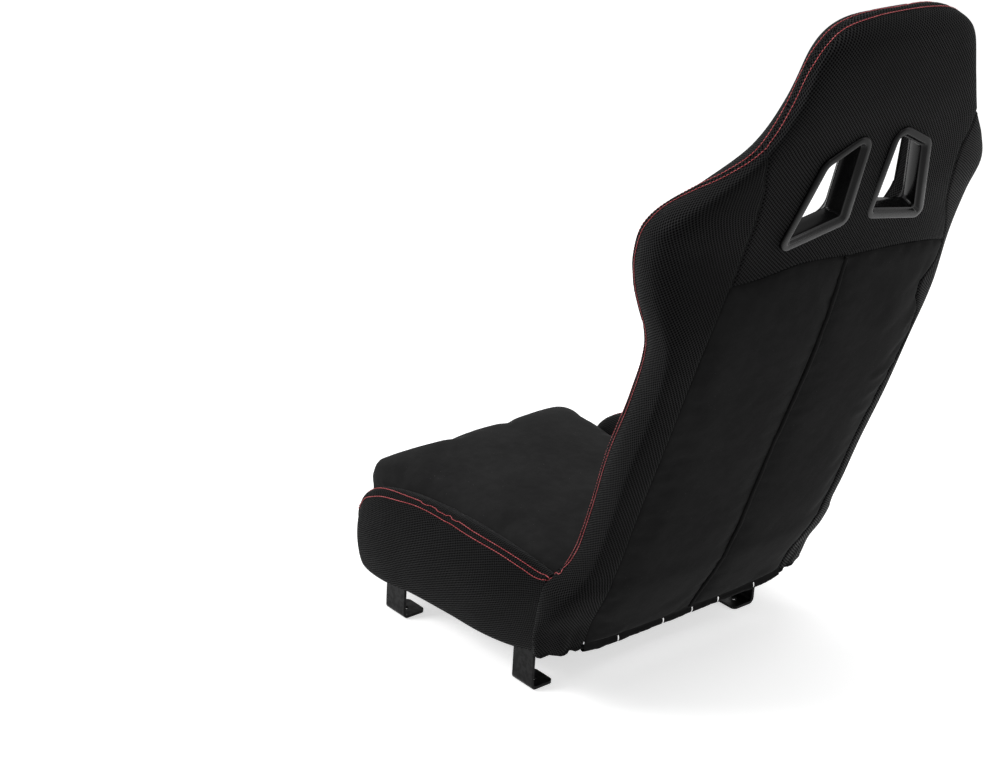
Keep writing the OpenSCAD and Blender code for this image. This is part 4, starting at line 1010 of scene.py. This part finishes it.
def near_surface(pieces):
    """The outermost place and its outward normal on a set of pieces, near points in
    millimetres."""
    points, faces, first = [], [], 0
    for piece in pieces:
        co = points_of(piece) / MM
        points += [tuple(p) for p in co]
        faces += [tuple(v + first for v in p.vertices) for p in piece.data.polygons]
        first += len(co)
    tree = BVHTree.FromPolygons(points, faces)

    def find(p):
        place, normal, _, _ = tree.find_nearest(Vector(p))
        normal = Vector(normal) if normal.dot(place - Vector(core_near(p))) > 0 else -normal
        first, first_normal, _, _ = tree.ray_cast(place + normal * OUTSIDE, -normal, 2 * OUTSIDE)
        if first is not None:
            place = first
            normal = first_normal if first_normal.dot(normal) > 0 else -first_normal
        return np.array(place), np.array(normal)
    return find


on_covers = near_surface(panels + bolsters)


def resample(points, step):
    """Points at even distances on a smooth curve through the given ones."""
    points = np.asarray(points, float)
    padded = np.concatenate([[2 * points[0] - points[1]], points, [2 * points[-1] - points[-2]]])
    dense = []
    for i in range(1, len(padded) - 2):
        a, b, c, d = padded[i - 1:i + 3]
        for t in np.linspace(0, 1, 14, endpoint=False):
            dense.append(.5 * (2 * b + (c - a) * t + (2 * a - 5 * b + 4 * c - d) * t * t
                               + (3 * b - a - 3 * c + d) * t**3))
    dense.append(points[-1])
    dense = np.array(dense)
    s = lengths(dense[:, :3])
    want = np.linspace(0, s[-1], max(2, round(s[-1] / step) + 1))
    return np.stack([np.interp(want, s, dense[:, k]) for k in range(dense.shape[1])], 1)


def laid(path, step, find):
    """A path on the covers: points and normals."""
    found = [find(p) for p in resample(path, step)]
    points = np.array([p for p, _ in found])
    normals = np.array([n for _, n in found])
    for _ in range(2):
        normals[1:-1] = normals[:-2] + normals[1:-1] + normals[2:]
        normals /= np.linalg.norm(normals, axis=1, keepdims=True)
    return points, normals


# place across the band (0 on one row, 1 on the other) and height
BAND_PROFILE = ((-.34, -1.2), (-.2, .25), (-.08, .5), (.02, .15), (.14, .6), (.3, 1.5), (.5, 1.9),
                (.7, 1.5), (.86, .6), (.98, .15), (1.08, .5), (1.2, .25), (1.34, -1.2))
BAND_STEP = 3.0


def seam_band(name, rows, find, material):
    """A raised flat seam between two stitch rows. rows holds x y z of both rows at each place."""
    even = resample(rows, BAND_STEP)
    loops, uv = [], []
    along = lengths((even[:, :3] + even[:, 3:]) / 2)
    wide = np.linalg.norm(even[:, 3:] - even[:, :3], axis=1)
    for k, row in enumerate(even):
        loop = []
        for across, high in BAND_PROFILE:
            place, normal = find(row[:3] + (row[3:] - row[:3]) * across)
            loop.append(place + normal * (high + .15 * math.sin(along[k] / 5.3) * (high > .5)))
            uv.append((along[k], across * wide[k]))
        loops.append(loop)
    grid = np.array(loops)
    ahead, side = grid[1, 4] - grid[0, 4], grid[0, 5] - grid[0, 4]
    outward = find(grid[0, 4])[1]
    turn = 1 if np.cross(ahead, side) @ outward > 0 else -1
    return add_mesh(name, grid, quads(*grid.shape[:2], turn), material,
                    np.array(uv))


STITCH_PITCH, STITCH_THICK, STITCH_LIFT, STITCH_SIDES = 4.4, .52, .5, 6
# place along a stitch, share of its thickness and height
STITCH_RINGS = ((0, .35, -.5), (.08, .8, .05), (.3, 1, .45), (.6, 1, .45), (.8, .8, .05),
                (.88, .35, -.5))


def stitch_row(name, path, find, material, seed=0.0):
    """Single stitches laid end to end along a path, each dipping into the cloth at its ends."""
    points, normals = laid(path, STITCH_PITCH, find)
    thick, ring = STITCH_THICK, STITCH_SIDES
    stitch_faces = quads(len(STITCH_RINGS), ring, -1, True)
    faces, verts = [], []
    for k in range(len(points) - 1):
        p, q, n = points[k], points[k + 1], normals[k]
        along = q - p
        reach = np.linalg.norm(along)
        if reach < 1e-6:
            continue
        along /= reach
        across = np.cross(n, along)
        across /= np.linalg.norm(across)
        skew = .28 * math.sin(seed + k * 2.4)
        first = len(verts)
        for t, size, high in STITCH_RINGS:
            centre = (p + along * reach * t + n * (STITCH_LIFT + high * thick)
                      + across * skew * (t - .45))
            for j in range(ring):
                a = 2 * math.pi * j / ring
                verts.append(centre + (across * math.cos(a) + n * math.sin(a) * .8) * thick * size)
        faces += [tuple(first + v for v in face) for face in stitch_faces]
    return add_mesh(name, verts, faces, material)


RIM_FROM_Z, RIM_TO_Z = 186, 895       # the back's own part of the rim's stitch rows


def mirror(rows, side):
    rows = np.array(rows, float)
    rows[:, 0::3] *= side
    return rows


def rim_path(side):
    """Both stitch rows from the bolster's nose, through the valley, up to the head's top."""
    rows = [np.concatenate([bolster_point(a, b)[()], bolster_point(c, d)[()]])
            for a, b, c, d in BOLSTER_STITCH]
    rows += [np.concatenate([back_point(z, a)[()], back_point(z, b)[()]])
             for z, a, b in RIM_ROWS if RIM_FROM_Z <= z < RIM_TO_Z]
    rows += list(CROWN_ROWS)
    return mirror(rows, side)


both = np.concatenate([rim_path(1), rim_path(-1)[::-1][1:]])
band = seam_band("rim_seam_band", both, on_covers, mesh_black)
on_band = near_surface(panels + bolsters + [band])
stitch_row("rim_stitches_rear", both[:, :3], on_band, red_thread)
stitch_row("rim_stitches_front", both[:, 3:], on_band, red_thread, seed=1.0)

# ---------- welt, hem, rings ----------


def tube(name, path, radii, material, hides=(), ring=12, flat=1.0):
    """A round or flattened tube along a path of points."""
    path = np.asarray(path, float)
    radii = np.broadcast_to(radii, (len(path),))
    ahead = np.gradient(path, axis=0)
    ahead /= np.linalg.norm(ahead, axis=1, keepdims=True)
    up = np.array([0, 1.0, 0]) if abs(ahead[0][1]) < .7 else np.array([0, 0, 1.0])
    verts, faces = [], quads(len(path), ring, -1, True) + end_faces(len(path), ring)
    for p, t, r in zip(path, ahead, radii):
        a = np.cross(up, t)
        a /= np.linalg.norm(a)
        b = np.cross(t, a)
        for j in range(ring):
            w = 2 * math.pi * j / ring
            verts.append(p + a * math.cos(w) * r + b * math.sin(w) * r * flat)
    return add_mesh(name, verts, faces, material, None, hides)


welt_z = np.linspace(LOWER_START_Z, float(yoke_z(0)) - 1, 150)
welt_x = 1.5 * wander(welt_z / 52, 2.2) - 1.2 * (welt_z > 400) * np.sin((welt_z - 400) / 60)
welt_path = back_point(welt_z, 0 * welt_z) + np.stack([welt_x, 0 * welt_z + .4, 0 * welt_z], 1)
tube("centre_welt", welt_path, 2.6 + .25 * wander(welt_z / 17, .7), suede_back,
     ["rear_centre_welt"], 14, .85)

ROD_Y, ROD_Z, HEM_ROLL = 78.4, 79.6, 6.2      # middle of the rod, radius of the roll
ROLL_HALF, ROD_HALF = 177, 150                # half lengths of roll and rod
ROLL_FROM_Z = 90.5


def hem_roll():
    """The suede's lower edge, turned under and wrapped round the hem rod."""
    rows = []
    for x in np.linspace(-ROLL_HALF, ROLL_HALF, 150):
        edge = back_point(ROLL_FROM_Z, u_at_x(ROLL_FROM_Z, abs(x)))
        soft = .8 * float(wander(x / 21, 3.3))
        away = max(0, abs(x) - ROD_HALF) / (ROLL_HALF - ROD_HALF)
        roll = HEM_ROLL + .5 * float(wander(x / 13, 5.1)) - 2.5 * away
        centre = np.array([ROD_Y, ROD_Z + 1.5 * away + soft * .4])
        start = np.array([edge[1] + .3, 92.0])
        loop = [start, start + [-.6, -3.0 + soft * .3]]
        for a in np.linspace(35, -235, 15):
            r = math.radians(a)
            loop.append(centre + roll * np.array([math.cos(r) * 1.05, math.sin(r)]))
        rows.append([[x, *p] for p in loop])
    grid = np.array(rows)
    return add_mesh("rear_hem_roll", grid, quads(*grid.shape[:2], 1), hem_cloth)


hem_roll()
BUNCH_AT, BUNCH_HALF, BUNCH_HIGH = .12, .05, 1.8      # where the side hem is bunched up
for label, side in SIDES:
    wave = resample(hem_waves[side], 4.0)
    place = np.arange(len(wave)) / len(wave)
    size = (2.6 + .9 * wander(np.linspace(0, 9, len(wave)), 2.0 + side)
            + BUNCH_HIGH * np.exp(-((place - BUNCH_AT) / BUNCH_HALF)**2))
    tube("side_hem_" + label, wave - np.array([side * 1.5, 1.5, .5]), size, hem_cloth)
    seam = [back_point(z, seam_u(z, side), side)
            for z in np.linspace(float(yoke_z(side)), NECK_Z - 4, 30)]
    tube("shoulder_seam_" + label, np.array(seam) - [0, 1.6, 0], .7, black_thread,
         (), 8)

APRON_HALF, APRON_Y, APRON_Z, APRON_TALL = 186, -315.2, 61, 31
apron = np.array([[[x * APRON_HALF, APRON_Y - .8 * wander(x * 5, 1.0) + (1 - k) * 1.0,
                    APRON_Z + APRON_TALL * k + (1 - k) * 2.0 * wander(x * 4, 2.6)]
                   for x in np.linspace(-1, 1, 61)] for k in np.linspace(0, 1, 12)])
front_apron = add_mesh("front_apron", apron, quads(*apron.shape[:2], -1), suede_cushion,
                       None, ["base_front_apron"])
front_apron.modifiers.new("cloth", "SOLIDIFY").thickness = .0024
apply_modifiers(front_apron)

# ---------- harness slot frames ----------

# inset, height and share of the front face's slope
REAR_FRAME = ((0, -3, 0), (.05, .5, 0), (.25, 1.8, 0), (.8, 2.8, 0), (1.7, 3.3, 0),
              (3.0, 3.55, 0), (5.5, 3.65, 0), (7.6, 3.6, 0), (8.4, 3.4, 0), (8.9, 2.9, 0),
              (10.2, .9, 0), (11.3, -.8, 0), (11.8, -1.2, 0), (12.5, -1.25, 0), (12.9, -1.5, 0),
              (13.1, -2.2, 0), (13.5, -6, 0), (13.9, -13, 0), (14.1, -20.4, 0), (13.8, -21, 0),
              (12.1, -21, 0), (11.4, -6, 0), (10.8, -3, 0))
FRONT_FRAME = ((-10, 32, 1), (-9.9, 35, 1), (-9.4, 37, 1), (-8.2, 38.2, 1), (-6, 38.7, 1),
               (-4.4, 38.4, 1), (-3.2, 37.6, 1), (-2.4, 36.4, 1), (-2, 34.9, 1), (3, 30.8, .7),
               (9.6, 25.3, .25), (14.2, 21.4, 0), (12, 21.4, 0), (-4, 31, 1))


def slot_bezel(name, side, front, hides):
    loops = []
    for inset, height, share in FRONT_FRAME if front else REAR_FRAME:
        flat = slot_outline(inset, 11)
        depth = height + share * FRONT_LEAN * flat[:, 0] if front else -height
        lean = np.interp(height if front else -height, TUNNEL_LEAN[:, 0], TUNNEL_LEAN[:, 1])
        loops.append(from_slot(flat + [lean, 0], depth, side))
    grid = np.array(loops + loops[:1])
    n, m = grid.shape[:2]
    return add_mesh(name, grid, quads(n, m, -side if front else side, True), bezel_gloss,
                    None, hides)


LINING_DEEP = 30.0       # about the depth of the recess, for the cloth's layout


def recess_lining(label, side):
    """Cloth wall from the front flange out to the opening's piped edge in the front cover."""
    flat = slot_outline(RECESS_EDGE, 13)
    low = FRONT_DEPTH - 2 + FRONT_LEAN * flat[:, 0]
    edge = []
    for q, start in zip(flat, low):
        depth = start
        for depth in np.arange(start, start + 60, .5):
            place = from_slot(q[None] + recess_shift(q[None], depth), depth)[0]
            if place[1] < front_y(place[0], place[2]):
                break
        edge.append(depth)
    loops = []
    for t in np.linspace(0, 1, 10):
        depth = low + (np.array(edge) - low) * t
        loops.append(from_slot(flat + recess_shift(flat, depth), depth, side))
    grid = np.array(loops)
    n, m = grid.shape[:2]
    uv = np.stack(np.meshgrid(lengths(grid[0]), np.linspace(0, LINING_DEEP, n)), -1)
    add_mesh("recess_lining_" + label, grid, quads(n, m, side, True), mesh_black, uv)
    rim = np.concatenate([grid[-1], grid[-1, :2]])
    tube("recess_piping_" + label, resample(rim, 4.0), 1.5, black_thread, (), 8)


for label, side in SIDES:
    slot_bezel("slot_frame_rear_" + label, side, False, ["slot_bezel_rear_" + label])
    slot_bezel("slot_frame_front_" + label, side, True, ["slot_bezel_front_" + label])
    recess_lining(label, side)

# ---------- floor, light, camera ----------


FLOOR_HALF, FLOOR_DOWN = 9.0, .0006     # metres; the floor lies just under the feet
FLOOR_GLOW, SKY_ON_SEAT = .60, .40


def stage_floor():
    f = Finish("pale_floor")
    camera_ray, glossy_ray = f.outputs(f.node("ShaderNodeLightPath"), "Is Camera Ray",
                                       "Is Glossy Ray")
    seen = camera_ray.at_least(glossy_ray)
    tone = f.shade(f.noise(40, 3) * .1, (.80, .80, .80), (.74, .74, .74))
    matte = f.node("ShaderNodeBsdfDiffuse", {}, {"Color": tone})
    glow = f.node("ShaderNodeEmission", {}, {"Color": (1, 1, 1, 1), "Strength": FLOOR_GLOW})
    lit = f.node("ShaderNodeAddShader", {}, {0: matte, 1: glow})
    material = f.done(f.node("ShaderNodeMixShader", {}, {0: seen, 1: matte, 2: lit}))
    mesh = bpy.data.meshes.new("floor")
    corners = [(x * FLOOR_HALF, y * FLOOR_HALF, 0) for x, y in ((-1, -1), (1, -1), (1, 1), (-1, 1))]
    mesh.from_pydata(corners, [], [(0, 1, 2, 3)])
    mesh.materials.append(material)
    floor = bpy.data.objects.new("floor", mesh)
    floor.location.z = -FLOOR_DOWN
    bpy.context.scene.collection.objects.link(floor)


def surroundings():
    world = bpy.data.worlds.new("studio")
    bpy.context.scene.world = world
    net = Net(world)
    camera_ray, through_ray, glossy_ray = net.outputs(
        net.node("ShaderNodeLightPath"), "Is Camera Ray", "Is Transmission Ray", "Is Glossy Ray")
    strength = net.node("ShaderNodeMapRange", {}, {
        "Value": camera_ray.at_least(through_ray).at_least(glossy_ray),
        "To Min": SKY_ON_SEAT, "To Max": 1.0})
    sky = net.node("ShaderNodeBackground", {}, {"Color": (1, 1, 1, 1), "Strength": strength})
    net.node("ShaderNodeOutputWorld", {}, {"Surface": sky})


# name, place, point it faces, size in metres and power in watts
LIGHTS = (("key", (2.7, -1.6, 2.4), (0, .1, .5), (1.4, 1.4), 90),
          ("overhead", (.2, .3, 3.2), (0, .15, .4), (2.0, 1.6), 46),
          ("rear_fill", (-2.2, 2.2, 1.6), (0, .1, .5), (1.2, 1.8), 16))


def soft_light(name, place, aim, size, power):
    lamp = bpy.data.lights.new(name, "AREA")
    lamp.shape, lamp.size, lamp.size_y, lamp.energy = "RECTANGLE", size[0], size[1], power
    light = bpy.data.objects.new(name, lamp)
    light.location = place
    light.rotation_euler = (Vector(aim) - Vector(place)).to_track_quat("-Z", "Y").to_euler()
    bpy.context.scene.collection.objects.link(light)


# the main camera: its place, its axes and its focal length
CAMERA_PLACE = (1.88190, 1.82386, 1.47233)
CAMERA_RIGHT = (-0.76410, 0.64317, 0.04993)
CAMERA_DOWN = (0.21681, 0.32892, -0.91913)
CAMERA_AHEAD = (-0.60758, -0.69148, -0.39077)
CAMERA_LENS = 81.4015


def camera():
    lens = bpy.data.cameras.new("photo_view")
    lens.sensor_fit, lens.sensor_width, lens.lens = "HORIZONTAL", 36.0, CAMERA_LENS
    lens.clip_end = 40
    eye = bpy.data.objects.new("photo_view", lens)
    turn = Matrix([[CAMERA_RIGHT[i], -CAMERA_DOWN[i], -CAMERA_AHEAD[i]] for i in range(3)])
    eye.matrix_world = Matrix.Translation(CAMERA_PLACE) @ turn.to_4x4()
    bpy.context.scene.collection.objects.link(eye)
    bpy.context.scene.camera = eye


stage_floor()
surroundings()
for light in LIGHTS:
    soft_light(*light)
camera()
bpy.context.scene.view_settings.view_transform = "Standard"
